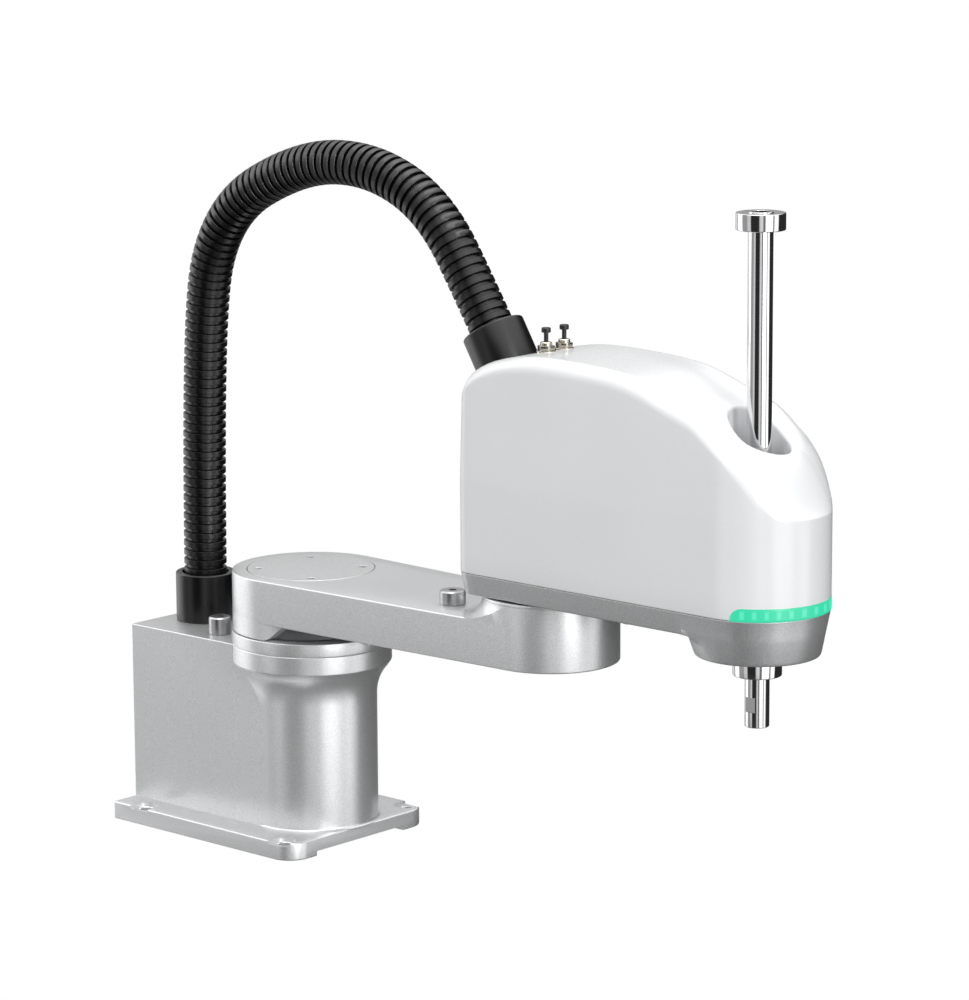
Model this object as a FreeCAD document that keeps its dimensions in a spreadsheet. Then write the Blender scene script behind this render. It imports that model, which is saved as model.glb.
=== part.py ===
import FreeCAD, Part

import math
import os

import Sketcher

# Small four-axis SCARA robot, straight pose, 400 mm reach.
# Millimetres, +Z up, +X along the arm. The origin is the centre of the four
# base bolt holes on the mounting plane.

Vector = FreeCAD.Vector
doc = FreeCAD.newDocument("scara_robot")
sheet = doc.addObject("Spreadsheet::Sheet", "dims")

# Driving dimensions: alias and value. A text that starts with = is worked out
# from other cells.
SIZES = [
    # whole machine
    ("axis1_x", 38.0),
    ("arm1_reach", 225.0),
    ("arm2_reach", 175.0),
    ("stroke_z", 150.0),
    ("face_gap", 0.3),
    ("slip_gap", 0.1),
    ("cut_spare", 1.0),
    # base plate
    ("plate_back", 135.0),
    ("plate_front", 46.0),
    ("plate_half", 70.0),
    ("plate_thick", 12.5),
    ("plate_front_round", 16.0),
    ("plate_back_round", 2.0),
    ("rail_inner", 44.0),
    ("rail_drop", 3.6),
    ("bolt_half_x", 70.0),
    ("bolt_edge", 8.0),
    ("bolt_hole_r", 4.5),
    ("bolt_seat_r", 9.0),
    ("bolt_seat_deep", 2.3),
    # base housing
    ("house_half", 48.4),
    ("column_r", 45.7),
    ("house_top", 140.2),
    ("wall", 6.0),
    ("rim_r", 56.5),
    ("rim_z", 127.0),
    ("flare_z", 102.0),
    ("lead_hole_r", 11.0),
    ("panel_half_y", 36.0),
    ("panel_low", 38.0),
    ("panel_high", 122.0),
    ("panel_thick", 2.0),
    ("panel_lip", 5.0),
    ("panel_screw_inset", 3.1),
    ("panel_screw_r", 2.3),
    ("panel_screw_tall", 1.6),
    # sockets and air ports on the panel
    ("socket_flange", 1.5),
    ("socket_ear", 6.0),
    ("socket_lip", 3.0),
    ("socket_wall", 1.5),
    ("socket_room_y", 4.5),
    ("socket_room_z", 3.5),
    ("power_z", 99.0),
    ("power_wide", 52.0),
    ("power_tall", 20.0),
    ("power_deep", 7.0),
    ("signal_z", 70.0),
    ("signal_wide", 40.0),
    ("signal_tall", 12.0),
    ("signal_deep", 5.0),
    ("port_y", 12.0),
    ("port_z", 47.0),
    ("port_hex_r", 5.5),
    ("port_hex_deep", 5.0),
    ("port_nozzle_r", 4.0),
    ("port_nozzle_long", 6.0),
    ("port_bore_r", 2.0),
    ("port_bore_foot", 2.0),
    # first joint
    ("ring_tall", 9.3),
    ("reducer1_r", 39.6),
    ("reducer1_bore", 28.0),
    ("reducer1_low", 104.0),
    ("output1_r", 27.5),
    ("turn_gap", 0.6),
    ("motor1_half", 27.0),
    ("motor1_low", 24.0),
    ("pin1_ring", 69.8),
    ("pin1_angle", 156.3),
    ("pin1_r", 8.0),
    ("pin1_tall", 12.5),
    ("pin_edge", 0.8),
    ("pin_socket_r", 2.6),
    ("pin_socket_deep", 3.0),
    ("stop1_half_angle", 15.5),
    ("stop1_drop", 11.0),
    ("stop_band", 8.0),
    # first arm
    ("arm1_low", 161.3),
    ("arm1_top", 192.3),
    ("hub1_r", 55.65),
    ("hub1_neck", 51.0),
    ("hub1_cut_x", 14.4),
    ("hub1_bore", 40.0),
    ("hub1_floor", 6.0),
    ("hub1_eye", 30.0),
    ("boss2_r", 46.2),
    ("boss2_top", 205.0),
    ("cap_r", 45.05),
    ("cap_thick", 3.0),
    ("cap_screw_ring", 36.7),
    ("cap_screw_count", 4.0),
    ("cap_screw_first", 45.0),
    ("cap_screw_r", 2.6),
    ("cap_screw_sunk", 1.2),
    ("cap_drive_r", 1.25),
    ("cap_drive_deep", 1.0),
    ("web_start", 88.0),
    ("web_end", 172.0),
    ("web_half", 34.0),
    ("web_rib", 3.0),
    ("web_deep", 22.0),
    ("pin2_ring", 73.2),
    ("pin2_angle", 163.6),
    ("pin2_r", 9.0),
    ("pin2_tall", 9.5),
    ("stop2_half_angle", 11.4),
    ("stop2_drop", 8.5),
    # second joint
    ("bore2_r", 34.0),
    ("bore2_eye", 31.0),
    ("bore2_roof", 7.0),
    ("foot_cap_r", 37.7),
    ("reducer2_bore", 22.5),
    ("seal_r", 44.0),
    ("seal_tall", 1.3),
    ("output2_r", 22.0),
    ("output2_flange", 30.0),
    ("motor2_half", 22.0),
    ("motor2_tall", 84.0),
    # second arm
    ("tray_low", 207.3),
    ("tray_top", 222.3),
    ("tray_half", 46.75),
    ("tray_back", 45.5),
    ("tray_round", 12.0),
    ("tray_draft", 11.0),
    ("tray_wall", 4.0),
    ("tray_floor", 4.0),
    ("nose_low", 192.0),
    ("nose_top_r", 43.7),
    ("nose_draft", 13.6),
    ("cover_wall", 3.0),
    ("cover_crease", 285.0),
    ("cover_lean", 1.5),
    ("crest_top", 371.6),
    ("crest_round", 8.0),
    ("crest_spare", 10.0),
    ("well_r", 19.6),
    ("well_floor", 298.0),
    ("well_skin", 2.4),
    ("well_hole_r", 11.5),
    ("strip_tall", 8.4),
    ("strip_angle", 72.0),
    ("board_wall", 1.2),
    ("cover_screw_y", 28.75),
    ("cover_screw_low", 238.3),
    ("cover_screw_high", 312.0),
    ("cover_screw_r", 3.0),
    ("cover_screw_tall", 1.8),
    # spindle drive
    ("shaft_r", 8.0),
    ("shaft_bore", 5.5),
    ("shaft_low", 144.2),
    ("shaft_top", 474.8),
    ("run_gap", 0.06),
    ("flat_low", 154.3),
    ("flat_tall", 9.8),
    ("flat_deep", 1.0),
    ("stop_ring_r", 15.85),
    ("stop_ring_tall", 11.0),
    ("upper_ring_z", 463.3),
    ("lower_ring_z", 177.8),
    ("slit", 1.2),
    ("groove_deep", 0.5),
    ("groove_tall", 1.5),
    ("nut_r", 15.5),
    ("nut_low", 192.6),
    ("nut_step", 1.0),
    ("nut_apart", 1.2),
    ("wheel_r", 24.0),
    ("wheel_tall", 14.0),
    ("flange_rise", 1.0),
    ("belt_wide", 10.0),
    ("belt_thick", 1.4),
    ("spline_wheel_z", 226.0),
    ("ball_wheel_z", 250.0),
    ("ball_nut_top", 292.0),
    ("bearing_r", 25.0),
    ("bridge_z", 270.0),
    ("bridge_thick", 8.0),
    ("bridge_back", 30.0),
    ("bridge_front", 22.0),
    ("leg_y", 29.0),
    ("leg_thick", 8.0),
    ("leg_wide", 16.0),
    ("turn_motor_x", 72.0),
    ("lift_motor_x", 122.0),
    ("drive_motor_half", 20.0),
    ("turn_motor_tall", 70.0),
    ("lift_motor_tall", 58.0),
    ("motor_wheel_r", 12.0),
    ("motor_shaft_r", 4.0),
    # conduit and its collars
    ("hose_r", 15.3),
    ("hose_bore", 11.0),
    ("hose_x", 107.3),
    ("hose_gap", 1.4),
    ("collar_r", 21.6),
    ("collar_tall", 35.2),
    ("upper_collar_x", 51.4),
    ("upper_collar_z", 379.0),
    ("upper_collar_tilt", 31.4),
    ("upper_collar_long", 40.0),
    ("upper_hose_deep", 25.3),
    # air fittings
    ("fitting_x", 4.0),
    ("fitting_y", 9.0),
    ("fitting_z", 370.2),
    ("fitting_seat_r", 7.0),
    ("fitting_hex", 5.8),
    ("fitting_tall", 4.2),
    ("fitting_waist_r", 4.6),
    ("fitting_waist_tall", 1.5),
    ("plug_stem_r", 1.4),
    ("plug_stem_tall", 8.6),
    ("plug_head_r", 3.0),
    ("plug_head_tall", 3.2),
]

DERIVED = [
    ("axis2_x", "=axis1_x + arm1_reach"),
    ("tool_x", "=axis2_x + arm2_reach"),
    ("ring_top", "=house_top + ring_tall"),
    ("hub1_low", "=ring_top + turn_gap"),
    ("house_inner", "=house_half - wall"),
    ("column_inner", "=column_r - wall"),
    ("ceiling", "=house_top - wall"),
    ("bolt_half_y", "=plate_half - bolt_edge"),
    ("bolt_back", "=bolt_half_x + axis1_x"),
    ("bolt_front", "=bolt_half_x - axis1_x"),
    ("cover_half", "=tray_half"),
    ("tray_deck", "=tray_low + tray_floor"),
    ("nose_bore", "=nut_r + face_gap"),
    ("cap_low", "=arm1_top - cap_thick"),
    ("cap_screw_apart", "=360 / cap_screw_count"),
    ("hub1_deck", "=hub1_low + hub1_floor"),
    ("bore2_low", "=arm1_low + cap_thick"),
    ("bore2_top", "=boss2_top - bore2_roof"),
    ("strip_inner", "=tray_half - cover_wall"),
    ("low_travel", "=upper_ring_z - stroke_z"),
    ("flat_top", "=flat_low + flat_tall"),
    ("well_outer", "=well_r + well_skin"),
]


def fill_sheet():
    for row, (alias, content) in enumerate(SIZES + DERIVED, start=1):
        sheet.set("A%d" % row, alias)
        sheet.set("B%d" % row, str(content))
        sheet.setAlias("B%d" % row, alias)
    doc.recompute()


fill_sheet()


def size(name):
    """Value of a sheet cell; a leading minus turns its sign."""
    if name == "0":
        return 0.0
    if name.startswith("-"):
        return -float(sheet.get(name[1:]))
    return float(sheet.get(name))


def bind(thing, prop, name):
    """Ties a property to a sheet cell."""
    if name == "0":
        return
    if name.startswith("-"):
        thing.setExpression(prop, "-dims.%s" % name[1:])
    else:
        thing.setExpression(prop, "dims.%s" % name)


parts = []


def publish(thing, label, origin_x="axis1_x"):
    """Names a finished sub-part and puts it at its joint's axis."""
    thing.Label = label
    bind(thing, "Placement.Base.x", origin_x)
    parts.append(thing)
    return thing


# Part primitives bound to the sheet

def move(thing, x="0", y="0", z="0"):
    thing.Placement.Base = Vector(size(x), size(y), size(z))
    bind(thing, "Placement.Base.x", x)
    bind(thing, "Placement.Base.y", y)
    bind(thing, "Placement.Base.z", z)
    return thing


def turn(thing, axis, degrees):
    thing.Placement.Rotation = FreeCAD.Rotation(axis, degrees)
    return thing


def rod(name, radius, height, x="0", y="0", z="0"):
    thing = doc.addObject("Part::Cylinder", name)
    bind(thing, "Radius", radius)
    bind(thing, "Height", height)
    return move(thing, x, y, z)


def block(name, length, width, height, x="0", y="0", z="0"):
    thing = doc.addObject("Part::Box", name)
    bind(thing, "Length", length)
    bind(thing, "Width", width)
    bind(thing, "Height", height)
    return move(thing, x, y, z)


def less(name, base, *tools):
    cut = doc.addObject("Part::Cut", name)
    cut.Base = base
    if len(tools) == 1:
        cut.Tool = tools[0]
        return cut
    cut.Tool = together(name + "_tools", *tools)
    return cut


def together(name, *things):
    """One solid from several; a single one is kept as it is."""
    if len(things) == 1:
        only = doc.addObject("Part::Compound", name)
        only.Links = list(things)
        return only
    fuse = doc.addObject("Part::MultiFuse", name)
    fuse.Shapes = list(things)
    return fuse


def sleeve(name, outer, inner, height, x="0", y="0", z="0"):
    """A plain round tube."""
    body = rod(name + "_outer", outer, height)
    hole = rod(name + "_hole", inner, height)
    return move(less(name, body, hole), x, y, z)


def cell(alias, formula):
    """Adds one worked-out size to the sheet."""
    row = 1 + len(SIZES) + len(DERIVED) + len(cell.used)
    cell.used.append(alias)
    sheet.set("A%d" % row, alias)
    sheet.set("B%d" % row, "=" + formula)
    sheet.setAlias("B%d" % row, alias)
    sheet.recompute()
    return alias


cell.used = []


# Sketches bound to the sheet

def new_body(name):
    return doc.addObject("PartDesign::Body", name)


def origin_plane(body, role):
    for feature in body.Origin.OriginFeatures:
        if feature.Role == role:
            return feature
    raise ValueError(role)


def new_sketch(body, name, plane="XY_Plane", height="0"):
    sketch = body.newObject("Sketcher::SketchObject", name)
    sketch.AttachmentSupport = [(origin_plane(body, plane), "")]
    sketch.MapMode = "FlatFace"
    sketch.AttachmentOffset.Base = Vector(0, 0, size(height))
    bind(sketch, "AttachmentOffset.Base.z", height)
    return sketch


def pin_point(sketch, geometry, end, x, y):
    """Fixes a point at the sheet's x and y, measured from the sketch origin."""
    for kind, axis, name in (("DistanceX", -2, x), ("DistanceY", -1, y)):
        if name == "0":
            sketch.addConstraint(Sketcher.Constraint("PointOnObject", geometry, end, axis))
        else:
            index = sketch.addConstraint(
                Sketcher.Constraint(kind, -1, 1, geometry, end, size(name)))
            bind(sketch, "Constraints[%d]" % index, name)


def polygon(sketch, points):
    """Closed outline whose corners are pairs of sheet names."""
    first = sketch.GeometryCount
    count = len(points)
    for index, (x, y) in enumerate(points):
        after = points[(index + 1) % count]
        start = Vector(size(x), size(y), 0)
        sketch.addGeometry(Part.LineSegment(start, Vector(size(after[0]), size(after[1]), 0)))
    for index, (x, y) in enumerate(points):
        before = first + (index - 1) % count
        sketch.addConstraint(Sketcher.Constraint("Coincident", before, 2, first + index, 1))
        pin_point(sketch, first + index, 1, x, y)


def disc(sketch, radius, x="0", y="0"):
    centre = Vector(size(x), size(y), 0)
    number = sketch.addGeometry(Part.Circle(centre, Vector(0, 0, 1), size(radius)))
    index = sketch.addConstraint(Sketcher.Constraint("Radius", number, size(radius)))
    bind(sketch, "Constraints[%d]" % index, radius)
    if x == "0" and y == "0":
        sketch.addConstraint(Sketcher.Constraint("Coincident", number, 3, -1, 1))
    else:
        pin_point(sketch, number, 3, x, y)


def add_feature(body, kind, name, sketch, length, backwards=False):
    feature = body.newObject("PartDesign::" + kind, name)
    feature.Profile = sketch
    feature.Reversed = backwards
    feature.Length = size(length)
    bind(feature, "Length", length)
    doc.recompute()
    return feature


def pad(body, name, sketch, length, backwards=False, taper=None):
    feature = add_feature(body, "Pad", name, sketch, length, backwards)
    if taper:
        feature.TaperAngle = size(taper)
        bind(feature, "TaperAngle", taper)
        doc.recompute()
    return feature


def pocket(body, name, sketch, length, upwards=False):
    """Cuts from the sketch plane down, or up, and checks that something went."""
    before = body.Shape.Volume
    feature = add_feature(body, "Pocket", name, sketch, length, upwards)
    if body.Shape.Volume > before - 1e-3:
        raise RuntimeError("pocket %s cuts nothing" % name)
    return feature


def edges_where(shape, test):
    """Names of the edges whose ends and middle all pass the test."""
    names = []
    for number, edge in enumerate(shape.Edges, start=1):
        places = [vertex.Point for vertex in edge.Vertexes]
        low, high = edge.ParameterRange
        places.append(edge.valueAt((low + high) / 2))
        if all(test(place) for place in places):
            names.append("Edge%d" % number)
    return names


def dress(body, kind, name, radius, test):
    """Fillet or chamfer on the edges that pass the test."""
    tip = body.Tip
    names = edges_where(tip.Shape, test)
    feature = body.newObject("PartDesign::" + kind, name)
    feature.Base = (tip, names)
    prop = "Radius" if kind == "Fillet" else "Size"
    setattr(feature, prop, size(radius))
    bind(feature, prop, radius)
    doc.recompute()
    return feature


def near(value, name, slack=0.05):
    return abs(value - size(name)) < slack


# Wires worked out in code, for belts and the conduit

def loop_face(centre_a, radius_a, centre_b, radius_b, height):
    """Outline round two circles on the X axis: two arcs and two tangents."""
    span = centre_b - centre_a
    lean = math.asin((radius_a - radius_b) / span)
    top = math.pi / 2 - lean

    def on_circle(centre, radius, angle):
        return Vector(centre + radius * math.cos(angle), radius * math.sin(angle), height)

    a_up = on_circle(centre_a, radius_a, top)
    a_down = on_circle(centre_a, radius_a, -top)
    b_up = on_circle(centre_b, radius_b, top)
    b_down = on_circle(centre_b, radius_b, -top)
    edges = [
        Part.Arc(a_up, on_circle(centre_a, radius_a, math.pi), a_down).toShape(),
        Part.LineSegment(a_down, b_down).toShape(),
        Part.Arc(b_down, on_circle(centre_b, radius_b, 0.0), b_up).toShape(),
        Part.LineSegment(b_up, a_up).toShape(),
    ]
    return Part.Face(Part.Wire(edges))


def feature_from(name, shape):
    thing = doc.addObject("Part::Feature", name)
    thing.Shape = shape
    return thing


# BASE

def base_casting():
    """Cast aluminium foot: plate on two rails, housing, flared rim."""
    body = new_body("base_casting_body")
    plate = new_sketch(body, "plate_outline")
    polygon(plate, [
        ("-plate_back", "-plate_half"), ("plate_front", "-plate_half"),
        ("plate_front", "plate_half"), ("-plate_back", "plate_half")])
    pad(body, "plate", plate, "plate_thick")
    dress(body, "Fillet", "plate_front_corners", "plate_front_round",
          lambda p: near(p.x, "plate_front") and near(abs(p.y), "plate_half"))
    dress(body, "Fillet", "plate_back_corners", "plate_back_round",
          lambda p: near(p.x, "-plate_back") and near(abs(p.y), "plate_half"))

    house = new_sketch(body, "house_outline")
    polygon(house, [
        ("-plate_back", "-house_half"), ("0", "-column_r"),
        ("0", "column_r"), ("-plate_back", "house_half")])
    pad(body, "house", house, "house_top")
    column = new_sketch(body, "column_outline")
    disc(column, "column_r")
    pad(body, "column", column, "house_top")

    flare = new_sketch(body, "flare_profile", "XZ_Plane")
    flare_outline(flare)
    ring = body.newObject("PartDesign::Revolution", "flare")
    ring.Profile = flare
    ring.ReferenceAxis = (flare, ["V_Axis"])
    ring.Angle = 360.0
    doc.recompute()

    room = new_sketch(body, "room_outline")
    cell("room_back", "plate_back - wall")
    polygon(room, [
        ("-room_back", "-house_inner"), ("0", "-column_inner"),
        ("0", "column_inner"), ("-room_back", "house_inner")])
    pocket(body, "room", room, "ceiling", True)
    shaft = new_sketch(body, "reducer_seat_outline")
    cell("reducer_seat", "reducer1_r + slip_gap")
    disc(shaft, "reducer_seat")
    cell("through_house", "house_top + wall")
    pocket(body, "reducer_seat_hole", shaft, "through_house", True)

    channel = new_sketch(body, "channel_outline")
    polygon(channel, [
        ("-plate_back", "-rail_inner"), ("plate_front", "-rail_inner"),
        ("plate_front", "rail_inner"), ("-plate_back", "rail_inner")])
    pocket(body, "channel", channel, "rail_drop", True)

    holes = new_sketch(body, "bolt_holes")
    seats = new_sketch(body, "bolt_seats", "XY_Plane", "plate_thick")
    for corner_x in ("-bolt_back", "bolt_front"):
        for corner_y in ("-bolt_half_y", "bolt_half_y"):
            disc(holes, "bolt_hole_r", corner_x, corner_y)
            disc(seats, "bolt_seat_r", corner_x, corner_y)
    pocket(body, "bolt_drill", holes, "plate_thick", True)
    pocket(body, "bolt_face", seats, "bolt_seat_deep")
    cell("seat_left_back", "bolt_back + bolt_seat_r")
    cell("seat_right_back", "bolt_back - bolt_seat_r")
    cell("seat_left_front", "bolt_front - bolt_seat_r")
    cell("seat_right_front", "bolt_front + bolt_seat_r")
    cell("seat_out", "plate_half + bolt_seat_r")
    spans = (("-seat_left_back", "-seat_right_back"), ("seat_left_front", "seat_right_front"))
    breaks = new_sketch(body, "seat_breaks", "XY_Plane", "plate_thick")
    for low_x, high_x in spans:
        polygon(breaks, [
            (low_x, "bolt_half_y"), (high_x, "bolt_half_y"),
            (high_x, "seat_out"), (low_x, "seat_out")])
        polygon(breaks, [
            (low_x, "-seat_out"), (high_x, "-seat_out"),
            (high_x, "-bolt_half_y"), (low_x, "-bolt_half_y")])
    pocket(body, "seat_break", breaks, "bolt_seat_deep")

    lead = new_sketch(body, "lead_hole", "XY_Plane", "house_top")
    disc(lead, "lead_hole_r", "-hose_x")
    pocket(body, "lead_drill", lead, "wall")

    cell("panel_in_y", "panel_half_y - panel_lip")
    cell("panel_in_low", "panel_low + panel_lip")
    cell("panel_in_high", "panel_high - panel_lip")
    seat = new_sketch(body, "panel_seat", "YZ_Plane", "-plate_back")
    polygon(seat, [
        ("-panel_half_y", "panel_low"), ("panel_half_y", "panel_low"),
        ("panel_half_y", "panel_high"), ("-panel_half_y", "panel_high")])
    pocket(body, "panel_recess", seat, "panel_thick", True)
    window = new_sketch(body, "panel_window", "YZ_Plane", "-plate_back")
    polygon(window, [
        ("-panel_in_y", "panel_in_low"), ("panel_in_y", "panel_in_low"),
        ("panel_in_y", "panel_in_high"), ("-panel_in_y", "panel_in_high")])
    pocket(body, "panel_opening", window, "wall", True)
    publish(body, "base_casting")


def flare_outline(sketch):
    """Concave sweep from the column out to the upright rim."""
    reach = size("rim_r") - size("column_r")
    rise = size("rim_z") - size("flare_z")
    bend = (reach ** 2 + rise ** 2) / (2 * reach)
    foot = Vector(size("column_r"), size("flare_z"), 0)
    rim_low = Vector(size("rim_r"), size("rim_z"), 0)
    rim_top = Vector(size("rim_r"), size("house_top"), 0)
    core_top = Vector(0, size("house_top"), 0)
    core_low = Vector(0, size("flare_z"), 0)
    centre = Vector(foot.x + bend, foot.y, 0)
    end = math.atan2(rise, rim_low.x - centre.x)
    sketch.addGeometry(Part.LineSegment(core_low, foot))
    sketch.addGeometry(Part.ArcOfCircle(Part.Circle(centre, Vector(0, 0, 1), bend), end, math.pi))
    sketch.addGeometry(Part.LineSegment(rim_low, rim_top))
    sketch.addGeometry(Part.LineSegment(rim_top, core_top))
    sketch.addGeometry(Part.LineSegment(core_top, core_low))
    joins = ((0, 2, 1, 2), (1, 1, 2, 1), (2, 2, 3, 1), (3, 2, 4, 1), (4, 2, 0, 1))
    for first, first_end, second, second_end in joins:
        sketch.addConstraint(
            Sketcher.Constraint("Coincident", first, first_end, second, second_end))
    pin_point(sketch, 0, 1, "0", "flare_z")
    pin_point(sketch, 0, 2, "column_r", "flare_z")
    pin_point(sketch, 2, 1, "rim_r", "rim_z")
    pin_point(sketch, 2, 2, "rim_r", "house_top")
    pin_point(sketch, 4, 1, "0", "house_top")
    index = sketch.addConstraint(
        Sketcher.Constraint("DistanceY", -1, 1, 1, 3, size("flare_z")))
    bind(sketch, "Constraints[%d]" % index, "flare_z")


def base_rear():
    """Panel on the back wall with its connectors, air ports and screws."""
    cell("panel_wide", "2 * panel_half_y - 2 * slip_gap")
    cell("panel_tall", "panel_high - panel_low - 2 * slip_gap")
    cell("panel_y", "slip_gap - panel_half_y")
    cell("panel_z", "panel_low + slip_gap")
    plate = block("panel_plate", "panel_thick", "panel_wide", "panel_tall",
                  "-plate_back", "panel_y", "panel_z")
    publish(together("panel", plate), "base_rear_panel")

    publish(feature_from("power_shape", socket_shape("power")), "base_power_socket")
    publish(feature_from("signal_shape", socket_shape("signal")), "base_signal_socket")

    back = -size("plate_back")
    out = Vector(-1, 0, 0)
    ports = []
    for side in (-1, 1):
        foot = Vector(back, side * size("port_y"), size("port_z"))
        nut = prism(foot, size("port_hex_r"), size("port_hex_deep"), 6)
        nozzle = Part.makeCylinder(size("port_nozzle_r"), size("port_nozzle_long"),
                                   foot + out * size("port_hex_deep"), out)
        bore = Part.makeCylinder(size("port_bore_r"),
                                 size("port_hex_deep") + size("port_nozzle_long"),
                                 foot + out * size("port_bore_foot"), out)
        ports.append(nut.fuse(nozzle).cut(bore))
    publish(feature_from("port_shape", Part.makeCompound(ports)), "base_air_ports")

    screws = []
    inset = size("panel_screw_inset")
    for side in (-1, 1):
        for level in (size("panel_low") + inset, size("panel_high") - inset):
            place = Vector(back, side * (size("panel_half_y") - inset), level)
            screws.append(socket_screw(place, out, size("panel_screw_r"),
                                       size("panel_screw_tall")))
    publish(feature_from("panel_screw_shape", Part.makeCompound(screws)), "base_panel_screws")


def socket_shape(name):
    """Rectangular socket with a flange, a raised shell and a pin block."""
    wall_x = -size("plate_back")
    flange_x = wall_x - size("socket_flange")
    z = size(name + "_z")
    wide = size(name + "_wide")
    tall = size(name + "_tall")
    deep = size(name + "_deep")
    skin = 2 * size("socket_wall")
    flange = rear_box(wall_x, z, size("socket_flange"), wide + 2 * size("socket_ear"),
                      tall + 2 * size("socket_lip"))
    shell = rear_box(flange_x, z, deep, wide, tall)
    mouth = rear_box(flange_x, z, deep, wide - skin, tall - skin)
    core = rear_box(flange_x, z, deep - size("socket_flange"),
                    wide - 2 * size("socket_room_y"), tall - 2 * size("socket_room_z"))
    return flange.fuse(shell.cut(mouth)).fuse(core)


def rear_box(x, z, deep, wide, tall):
    """Box that stands out from x towards -X, centred on the arm's plane."""
    return Part.makeBox(deep, wide, tall, Vector(x - deep, -wide / 2, z - tall / 2))


def prism(place, across, deep, sides):
    """Regular prism that grows towards -X from a place."""
    corners = []
    for index in range(sides + 1):
        angle = 2 * math.pi * index / sides
        corners.append(place + Vector(0, across * math.cos(angle), across * math.sin(angle)))
    return Part.Face(Part.makePolygon(corners)).extrude(Vector(-deep, 0, 0))


def socket_screw(place, out, radius, tall):
    """Low round screw head with a hexagon socket."""
    head = Part.makeCylinder(radius, tall, place, out)
    socket = Part.makeCylinder(radius / 2, tall, place + out * (tall / 2), out)
    return head.cut(socket)


def base_small():
    sleeve("ring1", "rim_r", "reducer1_seat_r", "ring_tall", "0", "0", "house_top")
    publish(doc.getObject("ring1"), "j1_bearing_ring")

    pins = []
    for side in (-1, 1):
        angle = math.radians(side * size("pin1_angle"))
        pins.append(stop_pin(size("pin1_ring") * math.cos(angle),
                             size("pin1_ring") * math.sin(angle),
                             size("house_top"), size("pin1_r"), size("pin1_tall")))
    publish(feature_from("pin1_shape", Part.makeCompound(pins)), "base_stop_pins")

    collar = sleeve("base_collar", "collar_r", "hose_clear_r", "collar_tall",
                    "-hose_x", "0", "house_top")
    publish(together("base_collar_set", collar), "base_conduit_collar")

    cell("cover_long", "plate_back + column_inner")
    cell("cover_wide", "2 * rail_inner - 2 * face_gap")
    cell("cover_y", "face_gap - rail_inner")
    cell("cover_thin", "cover_wall / 2")
    cell("cover_z", "rail_drop - cover_thin")
    cell("cover_back", "plate_back - face_gap")
    sheet_part = block("base_under", "cover_long", "cover_wide", "cover_thin",
                       "-cover_back", "cover_y", "cover_z")
    publish(together("base_under_set", sheet_part), "base_bottom_cover")

    cell("motor1_wide", "2 * motor1_half")
    cell("motor1_tall", "reducer1_low - motor1_low")
    motor = block("motor1", "motor1_wide", "motor1_wide", "motor1_tall",
                  "-motor1_half", "-motor1_half", "motor1_low")
    publish(together("motor1_set", motor), "j1_motor")

    cell("reducer1_tall", "ring_top - reducer1_low")
    reducer = sleeve("reducer1", "reducer1_r", "reducer1_bore", "reducer1_tall",
                     "0", "0", "reducer1_low")
    publish(together("reducer1_set", reducer), "j1_reducer_ring")


def stop_pin(x, y, z, radius, tall):
    """Turned steel stop pin with an edge chamfer and a drive socket."""
    edge = size("pin_edge")
    body = Part.makeCylinder(radius, tall - edge, Vector(x, y, z))
    crown = Part.makeCone(radius, radius - edge, edge, Vector(x, y, z + tall - edge))
    deep = size("pin_socket_deep")
    socket = Part.makeCylinder(size("pin_socket_r"), deep, Vector(x, y, z + tall - deep))
    return body.fuse(crown).cut(socket)


# FIRST ARM, drawn about the second joint's axis

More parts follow.
